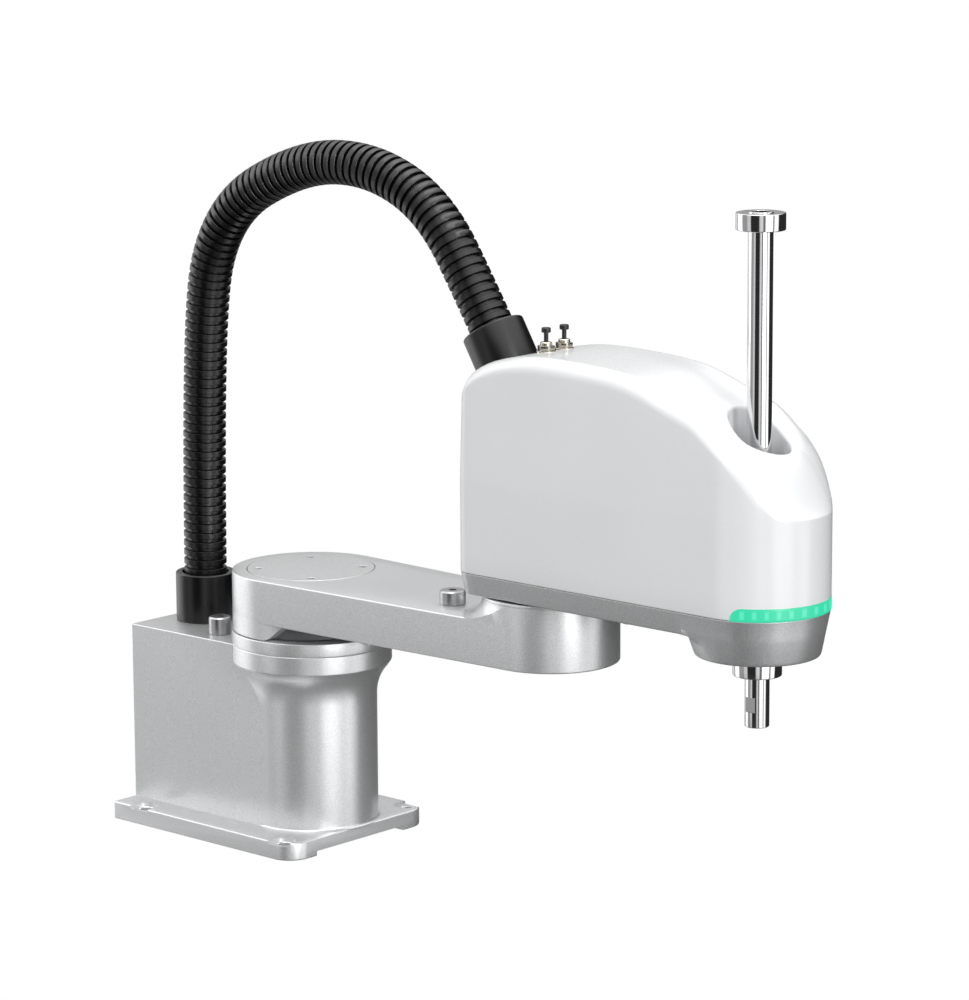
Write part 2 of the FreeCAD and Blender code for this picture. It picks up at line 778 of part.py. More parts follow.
def arm1_casting():
    """Cast arm: beam tangent to both hubs, scooped riser at the elbow."""
    body = new_body("arm1_casting_body")
    plan = new_sketch(body, "arm1_outline", "XY_Plane", "arm1_low")
    hull(plan, "-arm1_reach", "hub1_r", "boss2_r")
    cell("arm1_tall", "boss2_top - arm1_low")
    pad(body, "arm1_beam", plan, "arm1_tall")

    scoop = new_sketch(body, "scoop_profile", "XZ_Plane")
    scoop_outline(scoop)
    groove = body.newObject("PartDesign::Groove", "scoop")
    groove.Profile = scoop
    groove.ReferenceAxis = (scoop, ["V_Axis"])
    groove.Angle = 360.0
    doc.recompute()

    hub = new_sketch(body, "hub_outline", "XY_Plane", "hub1_low")
    disc(hub, "hub1_r", "-arm1_reach")
    cell("hub1_drop", "arm1_low - hub1_low")
    pad(body, "hub", hub, "hub1_drop")
    relief = new_sketch(body, "hub_relief_outline", "XY_Plane", "arm1_low")
    relief_outline(relief)
    pocket(body, "hub_relief", relief, "hub1_drop")

    bore = new_sketch(body, "hub_bore_outline", "XY_Plane", "arm1_top")
    disc(bore, "hub1_bore", "-arm1_reach")
    cell("hub1_bore_deep", "arm1_top - hub1_deck")
    pocket(body, "hub_bore", bore, "hub1_bore_deep")
    lid = new_sketch(body, "lid_seat_outline", "XY_Plane", "arm1_top")
    cell("cap_seat", "cap_r + slip_gap")
    disc(lid, "cap_seat", "-arm1_reach")
    pocket(body, "lid_seat", lid, "cap_thick")
    eye = new_sketch(body, "hub_eye_outline", "XY_Plane", "hub1_deck")
    disc(eye, "hub1_eye", "-arm1_reach")
    pocket(body, "hub_eye", eye, "hub1_floor")

    elbow = new_sketch(body, "elbow_outline", "XY_Plane", "arm1_low")
    disc(elbow, "bore2_r")
    cell("bore2_deep", "bore2_top - arm1_low")
    pocket(body, "elbow_bore", elbow, "bore2_deep", True)
    foot = new_sketch(body, "foot_seat_outline", "XY_Plane", "arm1_low")
    cell("foot_seat", "foot_cap_r + slip_gap")
    disc(foot, "foot_seat")
    pocket(body, "foot_seat_cut", foot, "cap_thick", True)
    crown = new_sketch(body, "elbow_eye_outline", "XY_Plane", "boss2_top")
    disc(crown, "bore2_eye")
    pocket(body, "elbow_eye", crown, "bore2_roof")

    web = new_sketch(body, "web_outline", "XY_Plane", "arm1_low")
    cell("web_near", "arm1_reach - web_start")
    cell("web_far", "arm1_reach - web_end")
    for low_y, high_y in (("-web_half", "-web_rib"), ("web_rib", "web_half")):
        polygon(web, [
            ("-web_near", low_y), ("-web_far", low_y),
            ("-web_far", high_y), ("-web_near", high_y)])
    pocket(body, "web_pockets", web, "web_deep", True)
    publish(body, "arm1_casting", "axis2_x")


def hull(sketch, centre_x, big, small):
    """Outline round two circles: the far one on X, the near one at the origin."""
    span = -size(centre_x)
    lean = math.asin((size(big) - size(small)) / span)
    top = math.pi / 2 + lean
    far = Vector(size(centre_x), 0, 0)
    up = Vector(0, 0, 1)
    spoke = Vector(math.cos(math.pi / 2 - lean), math.sin(math.pi / 2 - lean), 0)
    mirror = Vector(spoke.x, -spoke.y, 0)
    turn_a = math.pi / 2 - lean
    sketch.addGeometry(Part.ArcOfCircle(
        Part.Circle(far, up, size(big)), turn_a, 2 * math.pi - turn_a))
    sketch.addGeometry(Part.ArcOfCircle(
        Part.Circle(Vector(0, 0, 0), up, size(small)), -turn_a, turn_a))
    sketch.addGeometry(Part.LineSegment(far + spoke * size(big), spoke * size(small)))
    sketch.addGeometry(Part.LineSegment(far + mirror * size(big), mirror * size(small)))
    joins = ((0, 1, 2, 1), (1, 2, 2, 2), (0, 2, 3, 1), (1, 1, 3, 2))
    for first, first_end, second, second_end in joins:
        sketch.addConstraint(
            Sketcher.Constraint("Tangent", first, first_end, second, second_end))
    for number, radius in ((0, big), (1, small)):
        index = sketch.addConstraint(Sketcher.Constraint("Radius", number, size(radius)))
        bind(sketch, "Constraints[%d]" % index, radius)
    pin_point(sketch, 0, 3, centre_x, "0")
    sketch.addConstraint(Sketcher.Constraint("Coincident", 1, 3, -1, 1))


def scoop_outline(sketch):
    """Region above the beam and outside the riser, with a hollow corner."""
    cell("scoop_r", "boss2_top - arm1_top")
    cell("scoop_foot", "boss2_r + scoop_r")
    cell("scoop_far", "arm1_reach + 2 * hub1_r")
    bend = size("scoop_r")
    centre = Vector(size("scoop_foot"), size("boss2_top"), 0)
    rim = Vector(size("boss2_r"), size("boss2_top"), 0)
    foot = Vector(size("scoop_foot"), size("arm1_top"), 0)
    far_low = Vector(size("scoop_far"), size("arm1_top"), 0)
    far_top = Vector(size("scoop_far"), size("boss2_top"), 0)
    circle = Part.Circle(centre, Vector(0, 0, 1), bend)
    sketch.addGeometry(Part.ArcOfCircle(circle, math.pi, 1.5 * math.pi))
    sketch.addGeometry(Part.LineSegment(foot, far_low))
    sketch.addGeometry(Part.LineSegment(far_low, far_top))
    sketch.addGeometry(Part.LineSegment(far_top, rim))
    joins = ((0, 2, 1, 1), (1, 2, 2, 1), (2, 2, 3, 1), (3, 2, 0, 1))
    for first, first_end, second, second_end in joins:
        sketch.addConstraint(
            Sketcher.Constraint("Coincident", first, first_end, second, second_end))
    pin_point(sketch, 0, 3, "scoop_foot", "boss2_top")
    pin_point(sketch, 1, 1, "scoop_foot", "arm1_top")
    pin_point(sketch, 2, 1, "scoop_far", "arm1_top")
    pin_point(sketch, 2, 2, "scoop_far", "boss2_top")
    sketch.addConstraint(Sketcher.Constraint("Horizontal", 3))


def relief_outline(sketch):
    """Crescent in front of the hub's neck, where the beam hangs free."""
    span = Vector(-size("arm1_reach"), 0, 0)
    start = math.acos(size("hub1_cut_x") / size("hub1_neck"))
    reach = size("hub1_r") + size("cut_spare")
    wide = math.acos(size("hub1_cut_x") / reach)
    up = Vector(0, 0, 1)
    inner = Part.ArcOfCircle(Part.Circle(span, up, size("hub1_neck")), -start, start)
    outer = Part.ArcOfCircle(Part.Circle(span, up, reach), -wide, wide)
    sketch.addGeometry(inner)
    sketch.addGeometry(outer)
    sketch.addGeometry(Part.LineSegment(inner.EndPoint, outer.EndPoint))
    sketch.addGeometry(Part.LineSegment(outer.StartPoint, inner.StartPoint))
    joins = ((0, 2, 2, 1), (1, 2, 2, 2), (1, 1, 3, 1), (0, 1, 3, 2))
    for first, first_end, second, second_end in joins:
        sketch.addConstraint(
            Sketcher.Constraint("Coincident", first, first_end, second, second_end))
    cell("hub1_beyond", "hub1_r + cut_spare")
    cell("hub1_cut", "arm1_reach - hub1_cut_x")
    for number, radius in ((0, "hub1_neck"), (1, "hub1_beyond")):
        index = sketch.addConstraint(Sketcher.Constraint("Radius", number, size(radius)))
        bind(sketch, "Constraints[%d]" % index, radius)
        pin_point(sketch, number, 3, "-arm1_reach", "0")
    for line, end in ((2, 1), (3, 1)):
        index = sketch.addConstraint(
            Sketcher.Constraint("DistanceX", -1, 1, line, end, size("-hub1_cut")))
        bind(sketch, "Constraints[%d]" % index, "-hub1_cut")
    for line in (2, 3):
        sketch.addConstraint(Sketcher.Constraint("Vertical", line))


def arm1_small():
    screw_holes = []
    lid = rod("lid_plate", "cap_r", "cap_thick")
    for number in range(int(size("cap_screw_count"))):
        hole = doc.addObject("Part::Cylinder", "lid_hole%d" % number)
        cell("lid_turn%d" % number, "cap_screw_first + cap_screw_apart * %d" % number)
        cell("lid_x%d" % number, "cap_screw_ring * cos(lid_turn%d)" % number)
        cell("lid_y%d" % number, "cap_screw_ring * sin(lid_turn%d)" % number)
        bind(hole, "Height", "cap_thick")
        bind(hole, "Radius", "lid_screw_hole")
        move(hole, "lid_x%d" % number, "lid_y%d" % number)
        screw_holes.append(hole)
    plate = move(less("lid", lid, *screw_holes), "0", "0", "cap_low")
    publish(together("lid_set", plate), "hub_cover")

    screws = []
    for number in range(int(size("cap_screw_count"))):
        place = Vector(size("lid_x%d" % number), size("lid_y%d" % number), size("cap_low"))
        tall = size("cap_thick") - size("cap_screw_sunk")
        deep = size("cap_drive_deep")
        shank = Part.makeCylinder(size("cap_screw_r"), tall, place)
        drive = Part.makeCylinder(size("cap_drive_r"), deep, place + Vector(0, 0, tall - deep))
        screws.append(shank.cut(drive))
    publish(feature_from("lid_screw_shape", Part.makeCompound(screws)), "hub_cover_screws")

    pins = []
    for side in (-1, 1):
        angle = math.radians(side * size("pin2_angle"))
        pins.append(stop_pin(size("pin2_ring") * math.cos(angle),
                             size("pin2_ring") * math.sin(angle),
                             size("arm1_top"), size("pin2_r"), size("pin2_tall")))
    publish(feature_from("pin2_shape", Part.makeCompound(pins)), "arm1_stop_pins", "axis2_x")

    publish(stop_segment("stop1", "pin1_ring", "stop1_half_angle", "stop1_drop", "arm1_low"),
            "j1_stop_block")

    cell("output1_low", "reducer1_low + wall")
    cell("output1_tall", "hub1_deck - output1_low")
    neck = rod("output1_neck", "output1_r", "output1_tall", "0", "0", "output1_low")
    cell("output1_flange", "hub1_bore - face_gap")
    flange = rod("output1_disc", "output1_flange", "hub1_floor", "0", "0", "hub1_deck")
    publish(together("output1", neck, flange), "j1_reducer_output")

    cap = rod("foot_cap", "foot_cap_r", "cap_thick", "0", "0", "arm1_low")
    publish(together("foot_cap_set", cap), "arm1_bottom_cover", "axis2_x")

    cell("reducer2_r", "bore2_r - slip_gap")
    cell("reducer2_low", "bore2_low + cap_thick")
    cell("reducer2_tall", "bore2_top - reducer2_low")
    ring = sleeve("reducer2", "reducer2_r", "reducer2_bore", "reducer2_tall",
                  "0", "0", "reducer2_low")
    publish(together("reducer2_set", ring), "j2_reducer_ring", "axis2_x")

    seal = sleeve("seal2", "seal_r", "bore2_eye", "seal_tall", "0", "0", "boss2_top")
    publish(together("seal2_set", seal), "j2_seal_ring", "axis2_x")


def stop_segment(name, ring, half_angle, drop, top):
    """Arc-shaped stop block that hangs below an arm."""
    cell(name + "_outer_r", "%s + stop_band" % ring)
    cell(name + "_inner_r", "%s - stop_band" % ring)
    cell(name + "_sweep", "2 * %s" % half_angle)
    cell(name + "_low", "%s - %s" % (top, drop))
    outer = rod(name + "_outer", name + "_outer_r", drop)
    outer.Angle = 2 * size(half_angle)
    bind(outer, "Angle", name + "_sweep")
    inner = rod(name + "_inner", name + "_inner_r", drop)
    sector = less(name, outer, inner)
    turn(sector, Vector(0, 0, 1), -size(half_angle))
    sector.Placement.Base.z = size(name + "_low")
    sector.setExpression("Placement.Base.z", "dims.%s_low" % name)
    return together(name + "_set", sector)


# SECOND ARM, drawn about the second joint's axis

def arm2_outline(sketch, half, back, corner, nose_x="arm2_reach"):
    """Bullet plan: round nose, straight sides, flat back with round corners."""
    w, b, r, x = size(half), size(back), size(corner), size(nose_x)
    up = Vector(0, 0, 1)
    quarter = math.pi / 2
    sketch.addGeometry(Part.ArcOfCircle(Part.Circle(Vector(x, 0, 0), up, w), -quarter, quarter))
    sketch.addGeometry(Part.LineSegment(Vector(x, w, 0), Vector(r - b, w, 0)))
    sketch.addGeometry(Part.ArcOfCircle(
        Part.Circle(Vector(r - b, w - r, 0), up, r), quarter, 2 * quarter))
    sketch.addGeometry(Part.LineSegment(Vector(-b, w - r, 0), Vector(-b, r - w, 0)))
    sketch.addGeometry(Part.ArcOfCircle(
        Part.Circle(Vector(r - b, r - w, 0), up, r), 2 * quarter, 3 * quarter))
    sketch.addGeometry(Part.LineSegment(Vector(r - b, -w, 0), Vector(x, -w, 0)))
    joins = ((0, 2, 1, 1), (1, 2, 2, 1), (2, 2, 3, 1), (3, 2, 4, 1), (4, 2, 5, 1), (5, 2, 0, 1))
    for first, first_end, second, second_end in joins:
        sketch.addConstraint(
            Sketcher.Constraint("Tangent", first, first_end, second, second_end))
    for number, radius in ((0, half), (2, corner), (4, corner)):
        index = sketch.addConstraint(Sketcher.Constraint("Radius", number, size(radius)))
        bind(sketch, "Constraints[%d]" % index, radius)
    pin_point(sketch, 0, 3, nose_x, "0")
    sketch.addConstraint(Sketcher.Constraint("Vertical", 3))
    sketch.addConstraint(Sketcher.Constraint("Horizontal", 1))
    index = sketch.addConstraint(Sketcher.Constraint("DistanceX", -1, 1, 3, 1, -b))
    bind(sketch, "Constraints[%d]" % index, "-" + back)


def arm2_casting():
    """Drafted tray with the spindle's nose boss below its front."""
    body = new_body("arm2_casting_body")
    plan = new_sketch(body, "tray_outline", "XY_Plane", "tray_top")
    arm2_outline(plan, "tray_half", "tray_back", "tray_round")
    cell("tray_tall", "tray_top - tray_low")
    cell("tray_narrow", "0 deg - 1 deg * tray_draft")
    pad(body, "tray", plan, "tray_tall", True, "tray_narrow")

    nose = new_sketch(body, "nose_outline", "XY_Plane", "tray_low")
    disc(nose, "nose_top_r", "arm2_reach")
    cell("nose_tall", "tray_low - nose_low")
    cell("nose_narrow", "0 deg - 1 deg * nose_draft")
    pad(body, "nose", nose, "nose_tall", True, "nose_narrow")

    tub = new_sketch(body, "tub_outline", "XY_Plane", "tray_top")
    cell("tub_half", "tray_half - tray_wall")
    cell("tub_back", "tray_back - tray_wall")
    cell("tub_round", "tray_round - tray_wall")
    arm2_outline(tub, "tub_half", "tub_back", "tub_round")
    cell("tub_deep", "tray_top - tray_deck")
    tub_cut = pocket(body, "tub", tub, "tub_deep")
    tub_cut.TaperAngle = size("tray_narrow")
    bind(tub_cut, "TaperAngle", "tray_narrow")

    bore = new_sketch(body, "nose_bore_outline", "XY_Plane", "tray_deck")
    disc(bore, "nose_bore", "arm2_reach")
    cell("nose_bore_deep", "tray_deck - nose_low")
    pocket(body, "nose_bore_cut", bore, "nose_bore_deep")
    eye = new_sketch(body, "elbow_hole_outline", "XY_Plane", "tray_deck")
    disc(eye, "output2_r")
    pocket(body, "elbow_hole", eye, "tray_floor")
    publish(body, "arm2_casting", "axis2_x")


# Side profile of the cover's top, back edge to nose tip, before it is rounded.
CREST = [
    (-45.5, 345.0), (-40.0, 351.5), (-31.0, 358.8), (-12.0, 366.6), (10.0, 370.6),
    (38.0, 371.6), (72.0, 370.2), (106.0, 365.9), (139.0, 356.6), (171.0, 340.6),
    (196.0, 323.9), (210.0, 313.0), (218.5, 301.0), (221.75, 287.0)]


def bullet_solid(half, back, corner, low, high, lean):
    """Upright or inward-leaning walls: two wedges, a round nose, two corners."""
    nose_x = size("arm2_reach")
    tall = high - low
    inset = math.tan(math.radians(lean)) * tall
    sides = Part.Face(Part.makePolygon([
        Vector(corner - back, -half, low), Vector(corner - back, half, low),
        Vector(corner - back, half - inset, high), Vector(corner - back, inset - half, high),
        Vector(corner - back, -half, low)])).extrude(Vector(nose_x + back - corner, 0, 0))
    flat = half - corner
    inside = corner - back + size("cut_spare")
    rear = Part.Face(Part.makePolygon([
        Vector(-back, -flat, low), Vector(inside, -flat, low), Vector(inside, -flat, high),
        Vector(inset - back, -flat, high), Vector(-back, -flat, low)]))
    rounds = [rear.extrude(Vector(0, 2 * flat, 0))]
    for radius, x, y in ((half, nose_x, 0.0), (corner, corner - back, flat),
                         (corner, corner - back, -flat)):
        if inset:
            rounds.append(Part.makeCone(radius, radius - inset, tall, Vector(x, y, low)))
        else:
            rounds.append(Part.makeCylinder(radius, tall, Vector(x, y, low)))
    return sides.fuse(rounds).removeSplitter()


def cover_block(half, back, corner, drop):
    """Solid under the crest: upright walls, then walls that lean inwards."""
    crease = size("cover_crease")
    spare = size("crest_spare")
    high = size("crest_top") + spare
    lower = bullet_solid(half, back, corner, size("tray_top"), crease, 0.0)
    upper = bullet_solid(half, back, corner, crease, high, size("cover_lean"))
    walls = lower.fuse(upper).removeSplitter()

    points = [Vector(x, 0, z - drop) for x, z in CREST]
    curve = Part.BSplineCurve()
    curve.interpolate(points)
    first, last = points[0], points[-1]
    sky = high + 2 * spare
    left = first + Vector(-4 * spare, 0, -5 * spare)
    right = last + Vector(spare, 0, -4 * spare)
    rest = Part.makePolygon([
        last, right, Vector(right.x, 0, sky), Vector(left.x, 0, sky), left, first])
    outline = Part.Wire(Part.__sortEdges__([curve.toShape()] + rest.Edges))
    blade = Part.Face(outline)
    blade.translate(Vector(0, -2 * half, 0))
    return walls.cut(blade.extrude(Vector(0, 4 * half, 0)))


def cover_shape():
    half = size("cover_half")
    back = size("tray_back")
    wall = size("cover_wall")
    outer = cover_block(half, back, size("tray_round"), 0.0)
    tops = [face for face in outer.Faces if "Extrusion" in face.Surface.TypeId]
    rounded = outer.makeFillet(size("crest_round"), tops[0].Edges)
    inner = cover_block(half - wall, back - wall, size("tray_round") - wall, wall)
    skin = rounded.cut(inner)

    spindle = Vector(size("arm2_reach"), 0, size("well_floor"))
    tall = size("crest_top") - size("well_floor")
    tube = Part.makeCylinder(size("well_outer"), tall, spindle)
    tube = tube.common(rounded)
    skin = skin.fuse(tube)
    mouth = Part.makeCylinder(size("well_r"), tall, spindle + Vector(0, 0, wall))
    skin = skin.cut(mouth)
    pass_hole = Part.makeCylinder(size("well_hole_r"), 2 * wall, spindle - Vector(0, 0, wall / 2))
    skin = skin.cut(pass_hole)

    spare = size("cut_spare")
    seat = collar_solid(size("collar_r") + size("face_gap"), size("upper_collar_long") + spare)
    skin = skin.cut(seat)
    for side in (-1, 1):
        place = Vector(size("fitting_x"), side * size("fitting_y"),
                       size("fitting_z") - size("slip_gap"))
        skin = skin.cut(Part.makeCylinder(size("fitting_seat_r"), wall, place))
    band = strip_solid(size("tray_half") + spare, size("strip_inner") - spare, size("slip_gap"))
    skin = skin.cut(band)
    return skin


def collar_solid(radius, long):
    """Cylinder along the tilted collar of the second arm, from its mouth down."""
    tilt = math.radians(size("upper_collar_tilt"))
    down = Vector(math.sin(tilt), 0, -math.cos(tilt))
    top = Vector(-size("upper_collar_x"), 0, size("upper_collar_z"))
    return Part.makeCylinder(radius, long, top, down)


def strip_solid(outer, inner, gap):
    """Band round the nose, open at the back, between the tray and the cover."""
    low = size("tray_top")
    tall = size("strip_tall") + gap
    half_angle = size("strip_angle") + math.degrees(gap / size("tray_half"))
    centre = Vector(size("arm2_reach"), 0, low)
    sweep = 2 * half_angle
    ring = Part.makeCylinder(outer, tall, centre, Vector(0, 0, 1), sweep)
    ring.rotate(centre, Vector(0, 0, 1), -half_angle)
    return ring.cut(Part.makeCylinder(inner, tall, centre))


def arm2_small():
    publish(feature_from("cover_shape", cover_shape()), "arm2_cover", "axis2_x")
    strip = strip_solid(size("tray_half"), size("strip_inner"), 0.0)
    publish(feature_from("strip_shape", strip), "light_strip", "axis2_x")
    board_outer = size("strip_inner") - size("face_gap")
    board = strip_solid(board_outer, board_outer - size("board_wall"), 0.0)
    publish(feature_from("board_shape", board), "light_board", "axis2_x")

    collar = collar_solid(size("collar_r"), size("upper_collar_long"))
    collar = collar.cut(collar_solid(size("hose_clear_r"), size("upper_hose_deep")))
    through = size("upper_collar_long") + size("cut_spare")
    collar = collar.cut(collar_solid(size("hose_bore"), through))
    publish(feature_from("upper_collar_shape", collar), "arm2_conduit_collar", "axis2_x")

    nuts = []
    plugs = []
    for side in (-1, 1):
        place = Vector(size("fitting_x"), side * size("fitting_y"), size("fitting_z"))
        tall = size("fitting_tall")
        nuts.append(hex_nut(place, size("fitting_hex"), tall))
        stem_foot = place + Vector(0, 0, tall)
        stem = Part.makeCylinder(size("plug_stem_r"), size("plug_stem_tall"), stem_foot)
        head = Part.makeCylinder(size("plug_head_r"), size("plug_head_tall"),
                                 stem_foot + Vector(0, 0, size("plug_stem_tall")))
        plugs.append(stem.fuse(head))
    publish(feature_from("fitting_shape", Part.makeCompound(nuts)), "air_fittings", "axis2_x")
    publish(feature_from("plug_shape", Part.makeCompound(plugs)), "air_fitting_plugs", "axis2_x")

    screws = []
    for side in (-1, 1):
        for level in (size("cover_screw_low"), size("cover_screw_high")):
            place = Vector(-size("tray_back"), side * size("cover_screw_y"), level)
            screws.append(socket_screw(place, Vector(-1, 0, 0), size("cover_screw_r"),
                                       size("cover_screw_tall")))
    publish(feature_from("cover_screw_shape", Part.makeCompound(screws)), "cover_screws",
            "axis2_x")

    publish(stop_segment("stop2", "pin2_ring", "stop2_half_angle", "stop2_drop", "tray_low"),
            "j2_stop_block", "axis2_x")

    cell("output2_low", "reducer2_low + cap_thick")
    cell("output2_hole", "output2_r - slip_gap")
    cell("output2_tall", "tray_low - output2_low")
    neck = rod("output2_neck", "output2_hole", "output2_tall", "0", "0", "output2_low")
    cell("output2_plate", "tray_low - bore2_top - turn_gap")
    cell("output2_plate_low", "bore2_top + turn_gap")
    flange = rod("output2_disc", "output2_flange", "output2_plate", "0", "0",
                 "output2_plate_low")
    publish(together("output2", neck, flange), "j2_reducer_output", "axis2_x")

    cell("motor2_wide", "2 * motor2_half")
    motor = block("motor2", "motor2_wide", "motor2_wide", "motor2_tall",
                  "-motor2_half", "-motor2_half", "tray_deck")
    publish(together("motor2_set", motor), "j2_motor", "axis2_x")


def hex_nut(place, across, tall):
    """Upright hexagon on a round waist."""
    corners = []
    for index in range(7):
        angle = math.radians(60 * index + 30)
        corners.append(place + Vector(across * math.cos(angle), across * math.sin(angle), 0))
    body = Part.Face(Part.makePolygon(corners)).extrude(Vector(0, 0, tall))
    waist = Part.makeCylinder(size("fitting_waist_r"), size("fitting_waist_tall"), place)
    ring = Part.makeCylinder(2 * across, size("fitting_waist_tall"), place)
    return body.cut(ring.cut(waist))


# SPINDLE DRIVE, drawn about the spindle's axis

def wheel(name, bore, low, radius="wheel_r", tall="wheel_tall"):
    """Toothed-belt wheel: a drum between two thin flanges."""
    cell(name + "_flange_tall", "(%s - belt_wide) / 2 - face_gap" % tall)
    cell(name + "_drum_r", "%s - belt_thick - flange_rise" % radius)
    cell(name + "_upper", "%s + %s - %s_flange_tall" % (low, tall, name))
    drum = rod(name + "_drum", name + "_drum_r", tall, "0", "0", low)
    under = rod(name + "_under", radius, name + "_flange_tall", "0", "0", low)
    over = rod(name + "_over", radius, name + "_flange_tall", "0", "0", name + "_upper")
    hole = rod(name + "_hole", bore, tall, "0", "0", low)
    return less(name, together(name + "_stack", drum, under, over), hole)


def spindle_drive():
    cell("nut_bore", "shaft_r + run_gap")
    cell("ball_nut_low", "ball_wheel_z - nut_step")
    cell("spline_nut_tall", "ball_nut_low - nut_apart - nut_low")
    spline = sleeve("spline", "nut_r", "nut_bore", "spline_nut_tall", "0", "0", "nut_low")
    publish(together("spline_set", spline), "spline_nut", "tool_x")
    cell("wheel_bore", "nut_r + slip_gap")
    publish(wheel("turn_wheel", "wheel_bore", "spline_wheel_z"), "turn_pulley", "tool_x")

    cell("ball_nut_tall", "ball_nut_top - ball_nut_low")
    ball = sleeve("ball", "nut_r", "nut_bore", "ball_nut_tall", "0", "0", "ball_nut_low")
    publish(together("ball_set", ball), "ball_nut", "tool_x")
    publish(wheel("lift_wheel", "wheel_bore", "ball_wheel_z"), "lift_pulley", "tool_x")

    cell("bearing_bore", "nut_r + face_gap")
    cell("bearing_tall", "spline_wheel_z - tray_deck - face_gap")
    bearing = sleeve("bearing", "bearing_r", "bearing_bore", "bearing_tall",
                     "0", "0", "tray_deck")
    publish(together("bearing_set", bearing), "spindle_lower_bearing", "tool_x")

    cell("bridge_wide", "2 * leg_y + 2 * leg_thick")
    cell("bridge_side", "leg_y + leg_thick")
    cell("bridge_long", "bridge_back + bridge_front")
    deck = block("bridge_deck", "bridge_long", "bridge_wide", "bridge_thick",
                 "-bridge_back", "-bridge_side", "bridge_z")
    hole = rod("bridge_hole", "bearing_bore", "bridge_thick", "0", "0", "bridge_z")
    cell("leg_tall", "bridge_z - tray_deck")
    cell("leg_x", "0 - leg_wide / 2")
    left = block("bridge_leg_a", "leg_wide", "leg_thick", "leg_tall",
                 "leg_x", "leg_y", "tray_deck")
    right = block("bridge_leg_b", "leg_wide", "leg_thick", "leg_tall",
                  "leg_x", "-bridge_side", "tray_deck")
    publish(less("bridge", together("bridge_stack", deck, left, right), hole),
            "spindle_bridge", "tool_x")

    cell("bumper_low", "well_floor + cover_wall")
    cell("bumper_tall", "low_travel - bumper_low - face_gap")
    cell("bumper_r", "well_r - slip_gap")
    cell("bumper_bore", "shaft_r + run_gap + face_gap")
    bumper = sleeve("bumper", "bumper_r", "bumper_bore", "bumper_tall", "0", "0", "bumper_low")
    publish(together("bumper_set", bumper), "z_stop_bumper", "tool_x")


def drive_motors():
    """Two motors on the arm, their wheels and the belts to the spindle."""
    spindle = size("arm2_reach")
    drives = (
        ("turn", "turn_motor_x", "spline_wheel_z", "turn_motor_tall"),
        ("lift", "lift_motor_x", "ball_wheel_z", "lift_motor_tall"),
    )
    for name, place_x, wheel_z, tall in drives:
        x = size(place_x)
        low = size(wheel_z)
        band_low = low + (size("wheel_tall") - size("belt_wide")) / 2
        gap = size("face_gap")
        thick = size("belt_thick")
        drum_big = size("wheel_r") - thick - size("flange_rise")
        drum_small = size("motor_wheel_r") - thick - size("flange_rise")
        inside = loop_face(x, drum_small + gap, spindle, drum_big + gap, band_low)
        outside = loop_face(x, drum_small + gap + thick, spindle, drum_big + gap + thick,
                            band_low)
        rise = Vector(0, 0, size("belt_wide"))
        belt = outside.extrude(rise).cut(inside.extrude(rise))
        publish(feature_from(name + "_belt_shape", belt), name + "_belt", "axis2_x")

        cell(name + "_motor_z", "%s + wheel_tall + turn_gap + wall" % wheel_z)
        cell(name + "_shelf_z", "%s + wheel_tall + turn_gap" % wheel_z)
        cell(name + "_wide", "2 * drive_motor_half")
        cell(name + "_back_x", "%s - drive_motor_half" % place_x)
        motor = block(name + "_motor_block", name + "_wide", name + "_wide", tall,
                      name + "_back_x", "-drive_motor_half", name + "_motor_z")
        publish(together(name + "_motor_set", motor), name + "_motor", "axis2_x")

        cell(name + "_shaft_gap", "motor_shaft_r + slip_gap")
        shaft = rod(name + "_shaft", "motor_shaft_r", "wheel_reach", place_x, "0", wheel_z)
        pulley = wheel(name + "_motor_wheel", name + "_shaft_gap", wheel_z, "motor_wheel_r")
        move(pulley, place_x)
        publish(together(name + "_rotor_set", shaft), name + "_motor_shaft", "axis2_x")
        publish(together(name + "_pulley_set", pulley), name + "_motor_pulley", "axis2_x")
        publish(shelf(name, place_x), name + "_motor_bracket", "axis2_x")


def shelf(name, place_x):
    """Plate that carries a motor, on two legs that stand on the tray."""
    cell(name + "_shelf_side", "leg_y + leg_thick")
    cell(name + "_leg_tall", name + "_shelf_z - tray_deck")
    cell(name + "_leg_x", "%s - leg_wide / 2" % place_x)
    cell(name + "_eye", "motor_shaft_r + face_gap")
    deck = block(name + "_deck", name + "_wide", "bridge_wide", "wall",
                 name + "_back_x", "-" + name + "_shelf_side", name + "_shelf_z")
    left = block(name + "_leg_a", "leg_wide", "leg_thick", name + "_leg_tall",
                 name + "_leg_x", "leg_y", "tray_deck")
    right = block(name + "_leg_b", "leg_wide", "leg_thick", name + "_leg_tall",
                  name + "_leg_x", "-" + name + "_shelf_side", "tray_deck")
    hole = rod(name + "_deck_hole", name + "_eye", "wall", place_x, "0", name + "_shelf_z")
    return less(name + "_shelf", together(name + "_shelf_stack", deck, left, right), hole)


